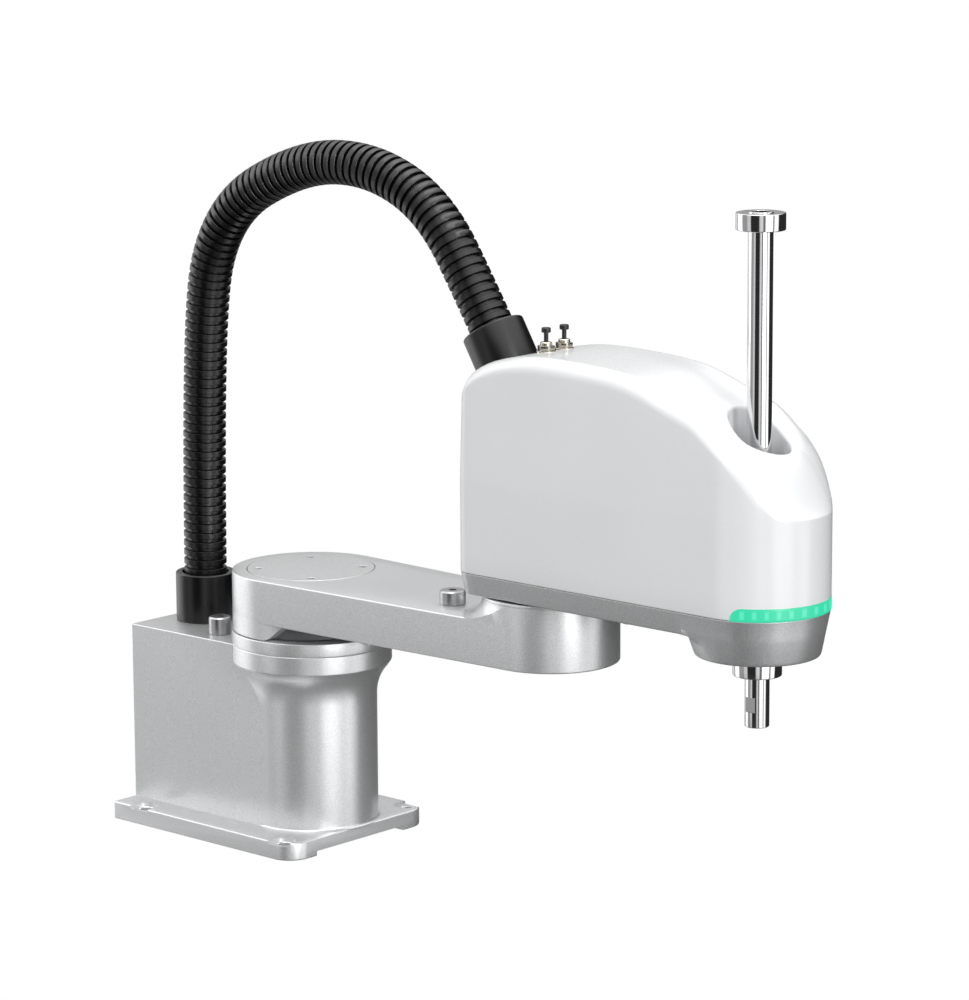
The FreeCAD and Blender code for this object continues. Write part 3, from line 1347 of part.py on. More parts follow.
def spindle():
    """Hollow ball-screw spline with a flat near its tool end, and two stops."""
    body = new_body("spindle_body")
    cell("tool_end_long", "flat_low - shaft_low")
    cell("shaft_long", "shaft_top - flat_top")
    cell("bore_long", "shaft_top - shaft_low")
    tool_end = new_sketch(body, "tool_end_section", "XY_Plane", "shaft_low")
    disc(tool_end, "shaft_r")
    flat = new_sketch(body, "flat_section", "XY_Plane", "flat_low")
    flat_section(flat)
    section = new_sketch(body, "shaft_section", "XY_Plane", "flat_top")
    disc(section, "shaft_r")
    bore = new_sketch(body, "shaft_bore_section", "XY_Plane", "shaft_low")
    disc(bore, "shaft_bore")
    seat = new_sketch(body, "collar_seat_outline", "XY_Plane", "lower_ring_z")
    cell("seat_wide_r", "shaft_r + cut_spare")
    cell("seat_deep_r", "shaft_r - groove_deep")
    disc(seat, "seat_wide_r")
    disc(seat, "seat_deep_r")
    stages = (
        pad(body, "tool_end", tool_end, "tool_end_long"),
        pad(body, "tool_flat", flat, "flat_tall"),
        pad(body, "shaft", section, "shaft_long"),
        pocket(body, "shaft_bore_cut", bore, "bore_long", True),
        pocket(body, "collar_seat", seat, "groove_tall", True),
    )
    for stage in stages:
        stage.Refine = False
    doc.recompute()
    publish(body, "spindle_shaft", "tool_x")

    for name, low in (("upper", "upper_ring_z"), ("lower", "lower_ring_z")):
        cell(name + "_ring_bore", "shaft_r + run_gap / 2")
        ring = sleeve(name + "_ring", "stop_ring_r", name + "_ring_bore", "stop_ring_tall",
                      "0", "0", low)
        cell(name + "_slit_y", "0 - slit / 2")
        gap = block(name + "_slit", "stop_ring_r", "slit", "stop_ring_tall",
                    "-stop_ring_r", name + "_slit_y", low)
        publish(less(name + "_stop", ring, gap), name + "_stop_collar", "tool_x")


def flat_section(sketch):
    """Shaft section with a flat on its -Y side: one long arc and its chord."""
    cell("flat_y", "shaft_r - flat_deep")
    radius = size("shaft_r")
    half_angle = math.acos(size("flat_y") / radius)
    start = half_angle - math.pi / 2
    end = 1.5 * math.pi - half_angle
    circle = Part.Circle(Vector(0, 0, 0), Vector(0, 0, 1), radius)
    arc = Part.ArcOfCircle(circle, start, end)
    sketch.addGeometry(arc)
    sketch.addGeometry(Part.LineSegment(arc.EndPoint, arc.StartPoint))
    sketch.addConstraint(Sketcher.Constraint("Coincident", 0, 2, 1, 1))
    sketch.addConstraint(Sketcher.Constraint("Coincident", 1, 2, 0, 1))
    sketch.addConstraint(Sketcher.Constraint("Coincident", 0, 3, -1, 1))
    sketch.addConstraint(Sketcher.Constraint("Horizontal", 1))
    index = sketch.addConstraint(Sketcher.Constraint("Radius", 0, radius))
    bind(sketch, "Constraints[%d]" % index, "shaft_r")
    index = sketch.addConstraint(
        Sketcher.Constraint("DistanceY", -1, 1, 1, 1, -size("flat_y")))
    bind(sketch, "Constraints[%d]" % index, "-flat_y")


# CONDUIT: straight runs joined by arcs, in the plane through both collars

ROUTE = [
    (-107.3, 140.2), (-107.3, 354.4), (-83.4, 439.1), (-3.5, 478.7),
    (63.4, 481.9), (121.6, 456.7), (160.8, 399.8), (186.6, 357.6)]
SPLIT_RUN = 3
CORNER_SHARE = 0.45


def route_edges(points):
    """Edges of the path, and the run that each straight belongs to."""
    places = [Vector(x, 0, z) for x, z in points]
    trims = [0.0]
    arcs = []
    for index in range(1, len(places) - 1):
        back = places[index - 1] - places[index]
        ahead = places[index + 1] - places[index]
        trim = CORNER_SHARE * min(back.Length, ahead.Length)
        inner = back.getAngle(ahead)
        radius = trim * math.tan(inner / 2)
        back.normalize()
        ahead.normalize()
        start = places[index] + back * trim
        end = places[index] + ahead * trim
        to_middle = (back + ahead).normalize()
        depth = radius / math.sin(inner / 2) - radius
        middle = places[index] + to_middle * depth
        arcs.append(Part.Arc(start, middle, end).toShape())
        trims.append(trim)
    trims.append(0.0)
    pieces = []
    for index in range(len(places) - 1):
        along = (places[index + 1] - places[index]).normalize()
        start = places[index] + along * trims[index]
        end = places[index + 1] - along * trims[index + 1]
        if index == SPLIT_RUN:
            middle = (start + end) * 0.5
            pieces.append([Part.LineSegment(start, middle).toShape()])
            pieces.append([Part.LineSegment(middle, end).toShape()])
        else:
            pieces.append([Part.LineSegment(start, end).toShape()])
        if index < len(arcs):
            pieces[-1].append(arcs[index])
    lower = [edge for piece in pieces[:SPLIT_RUN + 1] for edge in piece]
    upper = [edge for piece in pieces[SPLIT_RUN + 1:] for edge in piece]
    return lower, upper


def hose(edges):
    """Round tube along a path, with its volume compared."""
    path = Part.Wire(edges)
    first = edges[0]
    start = first.valueAt(first.FirstParameter)
    along = first.tangentAt(first.FirstParameter)
    solids = []
    for radius in (size("hose_r"), size("hose_bore")):
        ring = Part.Wire([Part.makeCircle(radius, start, along)])
        solid = path.makePipeShell([ring], True, False)
        expected = math.pi * radius ** 2 * path.Length
        if abs(solid.Volume / expected - 1) > 0.02:
            raise RuntimeError("the conduit's sweep has the wrong volume")
        solids.append(solid)
    return solids[0].cut(solids[1])


def conduit():
    lower, upper = route_edges(ROUTE)
    publish(feature_from("lower_hose_shape", hose(lower)), "conduit_lower")
    publish(feature_from("upper_hose_shape", hose(upper)), "conduit_upper")


cell("reducer1_seat_r", "reducer1_r + slip_gap + slip_gap")
cell("hose_clear_r", "hose_r + hose_gap")
cell("lid_screw_hole", "cap_screw_r + slip_gap")
cell("wheel_reach", "wheel_tall + turn_gap + wall")

base_casting()
base_rear()
base_small()
arm1_casting()
arm1_small()
arm2_casting()
arm2_small()
spindle_drive()
drive_motors()
spindle()
conduit()

doc.recompute()

for thing in doc.Objects:
    if "Invalid" in thing.State or "Error" in thing.State:
        raise RuntimeError("failed: %s %s" % (thing.Name, thing.State))
os.makedirs("parts", exist_ok=True)
for thing in parts:
    shape = thing.Shape
    if shape.isNull() or not shape.isValid():
        raise RuntimeError("bad shape: %s" % thing.Label)
    shape.exportStep("parts/%s.step" % thing.Label)
    print("%-24s solids %d volume %.0f" % (thing.Label, len(shape.Solids), shape.Volume))
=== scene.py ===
import math

import bmesh
import bpy
import numpy as np
from mathutils import Matrix, Vector


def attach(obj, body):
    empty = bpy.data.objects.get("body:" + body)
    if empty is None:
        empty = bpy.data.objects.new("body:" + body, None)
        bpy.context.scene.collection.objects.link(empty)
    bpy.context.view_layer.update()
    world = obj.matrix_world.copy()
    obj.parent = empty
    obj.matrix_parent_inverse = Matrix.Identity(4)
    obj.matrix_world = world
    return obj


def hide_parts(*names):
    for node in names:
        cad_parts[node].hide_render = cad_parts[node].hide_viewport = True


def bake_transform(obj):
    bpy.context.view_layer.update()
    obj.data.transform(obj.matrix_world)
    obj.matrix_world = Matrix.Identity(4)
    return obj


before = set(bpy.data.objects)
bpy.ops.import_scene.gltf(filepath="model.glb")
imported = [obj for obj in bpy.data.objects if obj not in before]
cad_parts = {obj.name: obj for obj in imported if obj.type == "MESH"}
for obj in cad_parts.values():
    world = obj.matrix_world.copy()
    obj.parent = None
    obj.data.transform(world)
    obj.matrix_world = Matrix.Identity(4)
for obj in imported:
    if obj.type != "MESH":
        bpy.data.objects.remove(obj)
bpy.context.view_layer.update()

scene = bpy.context.scene
scene.view_settings.view_transform = "Standard"


# Camera at the photograph's place: a long lens a little above the arm, from
# the front right corner of the base.
camera_data = bpy.data.cameras.new("camera")
camera_data.lens = 143.44
camera_data.sensor_width = 36.0
camera = bpy.data.objects.new("camera", camera_data)
scene.collection.objects.link(camera)
right = Vector((0.7404, 0.6722, -0.0051)).normalized()
ahead = Vector((-0.6606, 0.7262, -0.1903)).normalized()
up = right.cross(ahead).normalized()
right = ahead.cross(up)
turn = Matrix((right, up, -ahead)).transposed()
camera.matrix_world = Matrix.Translation((1.9754, -1.9479, 0.7721)) @ turn.to_4x4()
scene.camera = camera


# Conduit: ribbed hose of extruded and corrugated black plastic, pushed into a
# collar on the base and one on the second arm. On the robot it bends with both
# arms; here it is made in two lengths that meet at the top of the loop, and they
# stay where they are drawn. Sizes are in metres.
hose_outer, hose_groove, rib_pitch = 0.0153, 0.0129, 0.0066
hose_route = [
    (-0.0693, 0.1402), (-0.0693, 0.3544), (-0.0454, 0.4391), (0.0345, 0.4787),
    (0.1014, 0.4819), (0.1596, 0.4567), (0.1988, 0.3998), (0.2246, 0.3576)]
# The lowest place where it bends, the upper collar's place, and the loop's top.
lower_held, upper_held, loop_top_x = (-0.0693, 0.0, 0.30), (0.2116, 0.0, 0.379), 0.068


def flat_mesh(piece):
    """The piece's mesh with its modifiers worked in, as a new mesh."""
    graph = bpy.context.evaluated_depsgraph_get()
    return bpy.data.meshes.new_from_object(piece.evaluated_get(graph))


def smooth_route(points):
    """Points along a smooth curve in the plane of the arms."""
    line_data = bpy.data.curves.new("route", "CURVE")
    line_data.dimensions = "3D"
    line_data.resolution_u = 60
    spline = line_data.splines.new("NURBS")
    spline.points.add(len(points) - 1)
    for point, (x, z) in zip(spline.points, points):
        point.co = (x, 0.0, z, 1.0)
    spline.order_u = 3
    spline.use_endpoint_u = True
    line = bpy.data.objects.new("route", line_data)
    scene.collection.objects.link(line)
    bpy.context.view_layer.update()
    traced = flat_mesh(line)
    bpy.data.objects.remove(line)
    return np.array([v.co for v in traced.vertices], float)


def resample(points, spacing):
    """Points along a line at an even spacing, ends kept, and its length."""
    steps = np.linalg.norm(np.diff(points, axis=0), axis=1)
    points = points[np.concatenate([[True], steps > 1e-9])]
    steps = np.linalg.norm(np.diff(points, axis=0), axis=1)
    travel = np.concatenate([[0.0], np.cumsum(steps)])
    count = max(2, int(round(travel[-1] / spacing)))
    wanted = np.linspace(0.0, travel[-1], count + 1)
    even = np.stack([np.interp(wanted, travel, points[:, k]) for k in range(3)], axis=1)
    return even, travel[-1]


def linear(code):
    """An sRGB hex colour as linear values."""
    values = []
    for start in (1, 3, 5):
        part = int(code[start:start + 2], 16) / 255
        values.append(part / 12.92 if part <= 0.04045 else ((part + 0.055) / 1.055) ** 2.4)
    return (*values, 1.0)


def shade(colour, factor):
    """A linear colour made lighter or darker."""
    return (*(min(1.0, factor * part) for part in colour[:3]), 1.0)


def add_node(tree, kind, settings=None, links=None):
    """One node: settings give its sockets or properties, links feed sockets."""
    made = tree.nodes.new(kind)
    for key, value in (settings or {}).items():
        if isinstance(key, int) or key in made.inputs:
            made.inputs[key].default_value = value
        else:
            setattr(made, key, value)
    for key, source in (links or {}).items():
        tree.links.new(source, made.inputs[key])
    return made


def new_material(name):
    """A material, its tree, its shader and its texture coordinates."""
    material = bpy.data.materials.new(name)
    material.use_nodes = True
    tree = material.node_tree
    shader = next(n for n in tree.nodes if n.type == "BSDF_PRINCIPLED")
    return material, tree, shader, add_node(tree, "ShaderNodeTexCoord").outputs


def moulded(name, code, roughness, grain, depth, coat=0.0):
    """Moulded plastic, rubber or flat paint: one colour with a slight cloud about
    110 mm across, and a grain of a size in millimetres that dulls its shine."""
    material, tree, shader, place = new_material(name)
    colour = linear(code)
    fine = add_node(tree, "ShaderNodeTexNoise",
                    {"Scale": 1000 / grain, "Detail": 3.0, "Roughness": 0.6},
                    {"Vector": place["Object"]})
    cloud = add_node(tree, "ShaderNodeTexNoise", {"Scale": 1000 / 111, "Detail": 1.0},
                     {"Vector": place["Object"]})
    patch = add_node(tree, "ShaderNodeMapRange", {"From Min": 0.35, "From Max": 0.65},
                     {"Value": cloud.outputs["Fac"]})
    mixed = add_node(tree, "ShaderNodeMixRGB", {"Color1": shade(colour, 0.97), "Color2": colour},
                     {"Fac": patch.outputs["Result"]})
    rough = add_node(tree, "ShaderNodeMapRange",
                     {"To Min": roughness - 0.03, "To Max": roughness + 0.04},
                     {"Value": fine.outputs["Fac"]})
    relief = add_node(tree, "ShaderNodeBump", {"Strength": depth, "Distance": 0.0001},
                      {"Height": fine.outputs["Fac"]})
    tree.links.new(mixed.outputs["Color"], shader.inputs["Base Color"])
    tree.links.new(rough.outputs["Result"], shader.inputs["Roughness"])
    tree.links.new(relief.outputs["Normal"], shader.inputs["Normal"])
    shader.inputs["Coat Weight"].default_value = coat
    shader.inputs["Coat Roughness"].default_value = 0.12
    return material


# Black polyamide as it leaves the corrugator: deep black with a long, smooth
# highlight on each rib. The grain is drawn at about 1 mm so that it shows.
hose_black = moulded("conduit_black_plastic", "#060607", 0.31, 1.11, 0.12)

# One rib as shares of its length, and how far it stands out of the groove there:
# a narrow groove, steep sides with a small chamfer, and a flat top.
rib_share = (0.00, 0.17, 0.20, 0.24, 0.76, 0.80, 0.83)
rib_height = (0.0, 0.0, 0.875, 1.0, 1.0, 0.875, 0.0)
hose_group = bpy.data.node_groups.new("ribbed_hose", "GeometryNodeTree")
for name, kind in (("Geometry", "Geometry"), ("Ribs", "Int"), ("Outer Radius", "Float"),
                   ("Groove Radius", "Float"), ("Finish", "Material")):
    hose_group.interface.new_socket(name, in_out="INPUT", socket_type="NodeSocket" + kind)
hose_group.interface.new_socket("Geometry", in_out="OUTPUT", socket_type="NodeSocketGeometry")
given = add_node(hose_group, "NodeGroupInput").outputs
index = add_node(hose_group, "GeometryNodeInputIndex").outputs[0]
per_rib = len(rib_share)
number = add_node(hose_group, "FunctionNodeIntegerMath", {"operation": "DIVIDE_FLOOR", 1: per_rib},
                  {0: index})
within = add_node(hose_group, "FunctionNodeIntegerMath", {"operation": "MODULO", 1: per_rib},
                  {0: index})
picked = []
for values in (rib_share, rib_height):
    pick = add_node(hose_group, "GeometryNodeIndexSwitch", {"data_type": "FLOAT"},
                    {"Index": within.outputs[0]})
    while len(pick.index_switch_items) < per_rib:
        pick.index_switch_items.new()
    for station, value in enumerate(values):
        pick.inputs[1 + station].default_value = value
    picked.append(pick.outputs[0])
passed = add_node(hose_group, "ShaderNodeMath", {"operation": "ADD"},
                  {0: number.outputs[0], 1: picked[0]})
factor = add_node(hose_group, "ShaderNodeMath", {"operation": "DIVIDE"},
                  {0: passed.outputs[0], 1: given["Ribs"]})
radius = add_node(hose_group, "ShaderNodeMapRange", {},
                  {"Value": picked[1], "To Min": given["Groove Radius"],
                   "To Max": given["Outer Radius"]})
count = add_node(hose_group, "FunctionNodeIntegerMath",
                 {"operation": "MULTIPLY_ADD", 1: per_rib, 2: 1}, {0: given["Ribs"]})
line = add_node(hose_group, "GeometryNodeMeshLine", {}, {"Count": count.outputs[0]})
route = add_node(hose_group, "GeometryNodeMeshToCurve", {}, {"Mesh": given["Geometry"]})
place = add_node(hose_group, "GeometryNodeSampleCurve", {},
                 {"Curves": route.outputs[0], "Factor": factor.outputs[0]})
stations = add_node(hose_group, "GeometryNodeSetPosition", {},
                    {"Geometry": line.outputs[0], "Position": place.outputs["Position"]})
spine = add_node(hose_group, "GeometryNodeMeshToCurve", {}, {"Mesh": stations.outputs[0]})
circle = add_node(hose_group, "GeometryNodeCurvePrimitiveCircle",
                  {"Resolution": 56, "Radius": 1.0})
skin = add_node(hose_group, "GeometryNodeCurveToMesh", {"Fill Caps": True},
                {"Curve": spine.outputs[0], "Profile Curve": circle.outputs[0],
                 "Scale": radius.outputs[0]})
whole = add_node(hose_group, "GeometryNodeRealizeInstances", {}, {"Geometry": skin.outputs[0]})
painted = add_node(hose_group, "GeometryNodeSetMaterial", {},
                   {"Geometry": whole.outputs[0], "Material": given["Finish"]})
add_node(hose_group, "NodeGroupOutput", {}, {"Geometry": painted.outputs[0]})


def grow(piece, group, values):
    """Gives a piece the form that a node group makes of it."""
    modifier = piece.modifiers.new("form", "NODES")
    modifier.node_group = group
    for socket in group.interface.items_tree:
        if socket.name in values:
            modifier[socket.identifier] = values[socket.name]
    mesh = flat_mesh(piece)
    piece.modifiers.clear()
    piece.data = mesh
    return piece


def ribbed_tube(name, points):
    """Corrugated tube along a line, with a whole number of ribs, and its length."""
    total = resample(points, 0.001)[1]
    ribs = int(round(total / rib_pitch))
    fine = resample(points, total / (ribs * 40))[0]
    mesh = bpy.data.meshes.new(name)
    mesh.from_pydata([tuple(p) for p in fine], [(k, k + 1) for k in range(len(fine) - 1)], [])
    tube = bpy.data.objects.new(name, mesh)
    scene.collection.objects.link(tube)
    grow(tube, hose_group, {"Ribs": ribs, "Outer Radius": hose_outer,
                            "Groove Radius": hose_groove, "Finish": hose_black})
    tube.data.shade_smooth()
    tube.data.set_sharp_from_angle(angle=math.radians(40.0))
    return tube, total


centreline = smooth_route(hose_route)
split = int(np.argmin(np.abs(centreline[:, 0] - loop_top_x)))
split_point = tuple(centreline[split])
for name, node, part, bodies, ends in (
        ("conduit_lower_hose", "conduit_lower", centreline[:split + 1], ("base", "arm_1"),
         (lower_held, split_point)),
        ("conduit_upper_hose", "conduit_upper", centreline[split:], ("arm_1", "arm_2"),
         (split_point, upper_held))):
    tube, long = ribbed_tube(name, part)
    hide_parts(node)
    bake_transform(tube)


# Studio: pale floor and a white backdrop for the camera. What polished metal
# sees round it is a ring of white screens with dark gaps between them, and a
# grey floor and ceiling, as in a product studio. Sizes are in metres and watts.
floor_half = 6.0
# Screens as bearing in degrees, counted from +X towards +Y, and grey level.
screens = [
    (-180, 1.70), (-147, 1.70), (-144, 0.42), (-117, 0.42), (-114, 0.80), (-100, 0.80),
    (-97, 0.03), (-60, 0.03), (-56, 0.80), (-42, 1.00), (-40, 0.22), (-31, 0.22),
    (-28, 2.00), (4, 2.00), (7, 0.25), (12, 0.25), (15, 1.80), (33, 1.80), (38, 0.03),
    (113, 0.03), (122, 0.40), (150, 0.45), (180, 1.70)]
brightest, room_level = 2.0, 0.58
# Where the screens fade into the ceiling and the floor, and those two's level.
ceiling_fade, floor_fade = (0.40, 0.62, 0.90), (-0.28, -0.84, 0.05)
softboxes = [
    ("top_light", (0.3, 0.1, 2.2), (0.2, 0, 0.2), 1.8, 1.6, 22.0),
    ("front_light", (0.9, -2.4, 1.2), (0.2, 0, 0.3), 1.4, 1.4, 16.0),
    ("nose_light", (2.7, -0.6, 1.0), (0.4, 0, 0.3), 0.6, 1.8, 30.0),
    ("side_light", (-1.9, -0.9, 1.0), (0.1, 0, 0.2), 1.0, 1.6, 6.0)]

# Matt pale paint: the camera sees it as plain white, and the object sees it as
# a grey floor that takes its shadow.
floor_paint = bpy.data.materials.new("studio_pale")
floor_paint.use_nodes = True
tree = floor_paint.node_tree
tree.nodes.clear()
rays = add_node(tree, "ShaderNodeLightPath").outputs
matt = add_node(tree, "ShaderNodeBsdfDiffuse", {"Color": linear("#909090")})
glow = add_node(tree, "ShaderNodeEmission", {"Color": (1.0, 1.0, 1.0, 1.0), "Strength": 1.0})
seen = add_node(tree, "ShaderNodeMixShader", {},
                {0: rays["Is Camera Ray"], 1: matt.outputs[0], 2: glow.outputs[0]})
add_node(tree, "ShaderNodeOutputMaterial", {}, {"Surface": seen.outputs[0]})

floor_mesh = bpy.data.meshes.new("floor")
floor_mesh.from_pydata([(-floor_half, -floor_half, 0), (floor_half, -floor_half, 0),
                        (floor_half, floor_half, 0), (-floor_half, floor_half, 0)],
                       [], [(0, 1, 2, 3)])
floor_mesh.materials.append(floor_paint)
floor = bpy.data.objects.new("floor", floor_mesh)
scene.collection.objects.link(floor)
floor.visible_glossy = False

world = bpy.data.worlds.new("studio")
scene.world = world
world.use_nodes = True
tree = world.node_tree
tree.nodes.clear()
rays = add_node(tree, "ShaderNodeLightPath").outputs
aim = add_node(tree, "ShaderNodeTexCoord").outputs["Generated"]
axes = add_node(tree, "ShaderNodeSeparateXYZ", {}, {"Vector": aim}).outputs
bearing = add_node(tree, "ShaderNodeMath", {"operation": "ARCTAN2"}, {0: axes["Y"], 1: axes["X"]})
share = add_node(tree, "ShaderNodeMapRange", {"From Min": -math.pi, "From Max": math.pi},
                 {"Value": bearing.outputs[0]})
strips = add_node(tree, "ShaderNodeValToRGB", {}, {"Fac": share.outputs[0]})
stops = strips.color_ramp.elements
while len(stops) < len(screens):
    stops.new(0.5)
for stop, (angle, grey) in zip(stops, screens):
    stop.position = (angle + 180) / 360
for stop, (angle, grey) in zip(stops, screens):
    stop.color = (grey / brightest, grey / brightest, grey / brightest, 1.0)
around = strips.outputs["Color"]
for nearest, farthest, grey in (ceiling_fade, floor_fade):
    away = add_node(tree, "ShaderNodeMapRange", {"From Min": nearest, "From Max": farthest},
                    {"Value": axes["Z"]})
    around = add_node(tree, "ShaderNodeMixRGB", {"Color2": (grey, grey, grey, 1.0)},
                      {"Fac": away.outputs[0], "Color1": around}).outputs[0]
ring = add_node(tree, "ShaderNodeBackground", {"Strength": brightest}, {"Color": around})
dim = add_node(tree, "ShaderNodeBackground",
               {"Color": (1.0, 1.0, 1.0, 1.0), "Strength": room_level})
white = add_node(tree, "ShaderNodeBackground", {"Color": (1.0, 1.0, 1.0, 1.0), "Strength": 1.0})
shiny = add_node(tree, "ShaderNodeMixShader", {},
                 {0: rays["Is Glossy Ray"], 1: dim.outputs[0], 2: ring.outputs[0]})
seen = add_node(tree, "ShaderNodeMixShader", {},
                {0: rays["Is Camera Ray"], 1: shiny.outputs[0], 2: white.outputs[0]})
add_node(tree, "ShaderNodeOutputWorld", {}, {"Surface": seen.outputs[0]})

for name, place, target, wide, tall, watts in softboxes:
    data = bpy.data.lights.new(name, "AREA")
    data.shape = "RECTANGLE"
    data.size = wide
    data.size_y = tall
    data.energy = watts
    lamp = bpy.data.objects.new(name, data)
    scene.collection.objects.link(lamp)
    away = Vector(target) - Vector(place)
    lamp.matrix_world = (Matrix.Translation(place)
                         @ away.to_track_quat("-Z", "Y").to_matrix().to_4x4())
    # Polished metal would show this one as a hard square.
    lamp.visible_glossy = name != "front_light"


# Base casting: foot plate on two rails, upright housing, round column and the
# flared rim that carries the first joint. Sand cast in aluminium in one piece,
# machined on its faces and painted silver. From here on sizes are millimetres.
shoulder_x = 38.0
plate_back, plate_front, plate_half, plate_top = -97.0, 84.0, 70.0, 12.5
channel_half, channel_top = 44.0, 3.6
bolt_x, bolt_y, bolt_r, seat_r, seat_z = 70.0, 62.0, 4.5, 9.0, 10.2
house_half, house_r, deck_z = 48.4, 45.7, 140.2
column_r, rim_r, flare_bend = 45.72, 56.5, 32.7
cable_x, cable_r = -69.3, 11.0


def place_mesh(name, mesh, sharp=32.0):
    """New object for a mesh, smooth but for edges over an angle."""
    mesh.shade_smooth()
    mesh.set_sharp_from_angle(angle=math.radians(sharp))
    piece = bpy.data.objects.new(name, mesh)
    scene.collection.objects.link(piece)
    return piece


def mesh_piece(name, points, faces, sharp=32.0):
    """New object from points and faces, with its normals pointing out."""
    mesh = bpy.data.meshes.new(name)
    mesh.from_pydata([tuple(0.001 * c for c in p) for p in points], [], faces)
    work = bmesh.new()
    work.from_mesh(mesh)
    bmesh.ops.remove_doubles(work, verts=work.verts, dist=1e-6)
    bmesh.ops.recalc_face_normals(work, faces=work.faces)
    work.to_mesh(mesh)
    work.free()
    return place_mesh(name, mesh, sharp)


def ring_skin(name, rings, caps=True, sharp=32.0):
    """Skin over rings of equal point counts, capped at both ends."""
    count = len(rings[0])
    points = [p for ring in rings for p in ring]
    faces = []
    for level in range(len(rings) - 1):
        low, high = level * count, (level + 1) * count
        for index in range(count):
            after = (index + 1) % count
            faces.append((low + index, low + after, high + after, high + index))
    if caps:
        last = (len(rings) - 1) * count
        faces.append(tuple(reversed(range(count))))
        faces.append(tuple(last + index for index in range(count)))
    return mesh_piece(name, points, faces, sharp)


def lathe(name, profile, x=0.0, y=0.0, steps=128, sharp=32.0):
    """Turns a profile of radius and height pairs about an upright axis. The
    profile closes on itself unless it starts and ends on the axis."""
    points, faces, rings = [], [], []
    for radius, height in profile:
        if radius < 1e-6:
            rings.append([len(points)] * steps)
            points.append((x, y, height))
            continue
        rings.append(list(range(len(points), len(points) + steps)))
        for index in range(steps):
            angle = 2 * math.pi * index / steps
            points.append((x + radius * math.cos(angle), y + radius * math.sin(angle), height))
    pairs = list(zip(rings, rings[1:]))
    if profile[0][0] > 1e-6 or profile[-1][0] > 1e-6:
        pairs.append((rings[-1], rings[0]))
    for low, high in pairs:
        for index in range(steps):
            after = (index + 1) % steps
            corners = [low[index], low[after], high[after], high[index]]
            unique = [c for k, c in enumerate(corners) if c != corners[k - 1]]
            if len(set(unique)) > 2:
                faces.append(tuple(unique))
    return mesh_piece(name, points, faces, sharp)


def arc(centre, radius, start, end, steps):
    """Points on a circle between two angles in degrees."""
    result = []
    for step in range(steps + 1):
        angle = math.radians(start + (end - start) * step / steps)
        result.append((centre[0] + radius * math.cos(angle), centre[1] + radius * math.sin(angle)))
    return result


def soften(points, radii, steps=5, closed=False):
    """Rounds the corners of a plane line; a radius of 0 keeps the corner."""
    result = []
    count = len(points)
    for index, corner in enumerate(points):
        radius = radii[index] if isinstance(radii, (list, tuple)) else radii
        if not radius or not (closed or 0 < index < count - 1):
            result.append(tuple(corner))
            continue
        here = Vector(corner)
        back = Vector(points[index - 1]) - here
        ahead = Vector(points[(index + 1) % count]) - here
        half = back.angle(ahead) / 2
        if half > math.pi / 2 - 0.02:
            result.append(tuple(corner))
            continue
        reach = min(radius / math.tan(half), 0.49 * back.length, 0.49 * ahead.length)
        start = here + back.normalized() * reach
        end = here + ahead.normalized() * reach
        centre = here + (back.normalized() + ahead.normalized()).normalized() * (
            reach * math.tan(half) / math.sin(half))
        first = start - centre
        sweep = first.angle_signed(end - centre) if first.length > 1e-9 else 0.0
        for step in range(steps + 1):
            angle = -sweep * step / steps
            result.append(tuple(centre + Vector((
                first.x * math.cos(angle) - first.y * math.sin(angle),
                first.x * math.sin(angle) + first.y * math.cos(angle)))))
    return result


def outline_normals(outline):
    """Outward normals at the corners of a counterclockwise outline, longer
    where it turns, so that an inset by them is even."""
    normals = []
    for index, here in enumerate(outline):
        before, after = Vector(outline[index - 1]), Vector(outline[(index + 1) % len(outline)])
        here = Vector(here)
        one = (here - before).normalized()
        two = (after - here).normalized()
        normal = (Vector((one.y, -one.x)) + Vector((two.y, -two.x))).normalized()
        stretch = 1 / max(0.4, normal.dot(Vector((one.y, -one.x))))
        normals.append((normal.x * stretch, normal.y * stretch))
    return normals


def column_of(name, outline, low, high, edge=0.6, steps=3, sharp=32.0):
    """Upright prism of a plane outline, counterclockwise, with rounded edges."""
    normals = outline_normals(outline)
    turns = [math.pi / 2 * k / steps for k in range(steps + 1)]
    heights = [(t, low + edge * (1 - math.cos(t))) for t in turns]
    heights += [(t, high - edge * (1 - math.cos(t))) for t in reversed(turns)]
    rings = []
    for angle, height in heights:
        inset = edge * (1 - math.sin(angle))
        rings.append([(p[0] - n[0] * inset, p[1] - n[1] * inset, height)
                      for p, n in zip(outline, normals)])
    return ring_skin(name, rings, sharp=sharp)


def combine(piece, kind, *tools, sharp=32.0):
    """Boolean of a piece with others, which are used up."""
    for tool in tools:
        modifier = piece.modifiers.new("combine", "BOOLEAN")
        modifier.operation = kind
        modifier.solver = "EXACT"
        modifier.object = tool
        mesh = flat_mesh(piece)
        piece.modifiers.clear()
        old = piece.data
        piece.data = mesh
        bpy.data.meshes.remove(old)
        bpy.data.objects.remove(tool)
    piece.data.shade_smooth()
    piece.data.set_sharp_from_angle(angle=math.radians(sharp))
    return piece


def join(name, pieces):
    """Several objects as one, each part keeping its own form."""
    work = bmesh.new()
    for piece in pieces:
        work.from_mesh(piece.data)
        bpy.data.objects.remove(piece)
    mesh = bpy.data.meshes.new(name)
    work.to_mesh(mesh)
    work.free()
    return place_mesh(name, mesh)


def dress(piece, material, body, *nodes, slot):
    """Gives a piece its material, its body and the CAD nodes it stands for."""
    piece.data.materials.clear()
    piece.data.materials.append(material)
    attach(piece, body)
    if nodes:
        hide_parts(*nodes)
    return piece


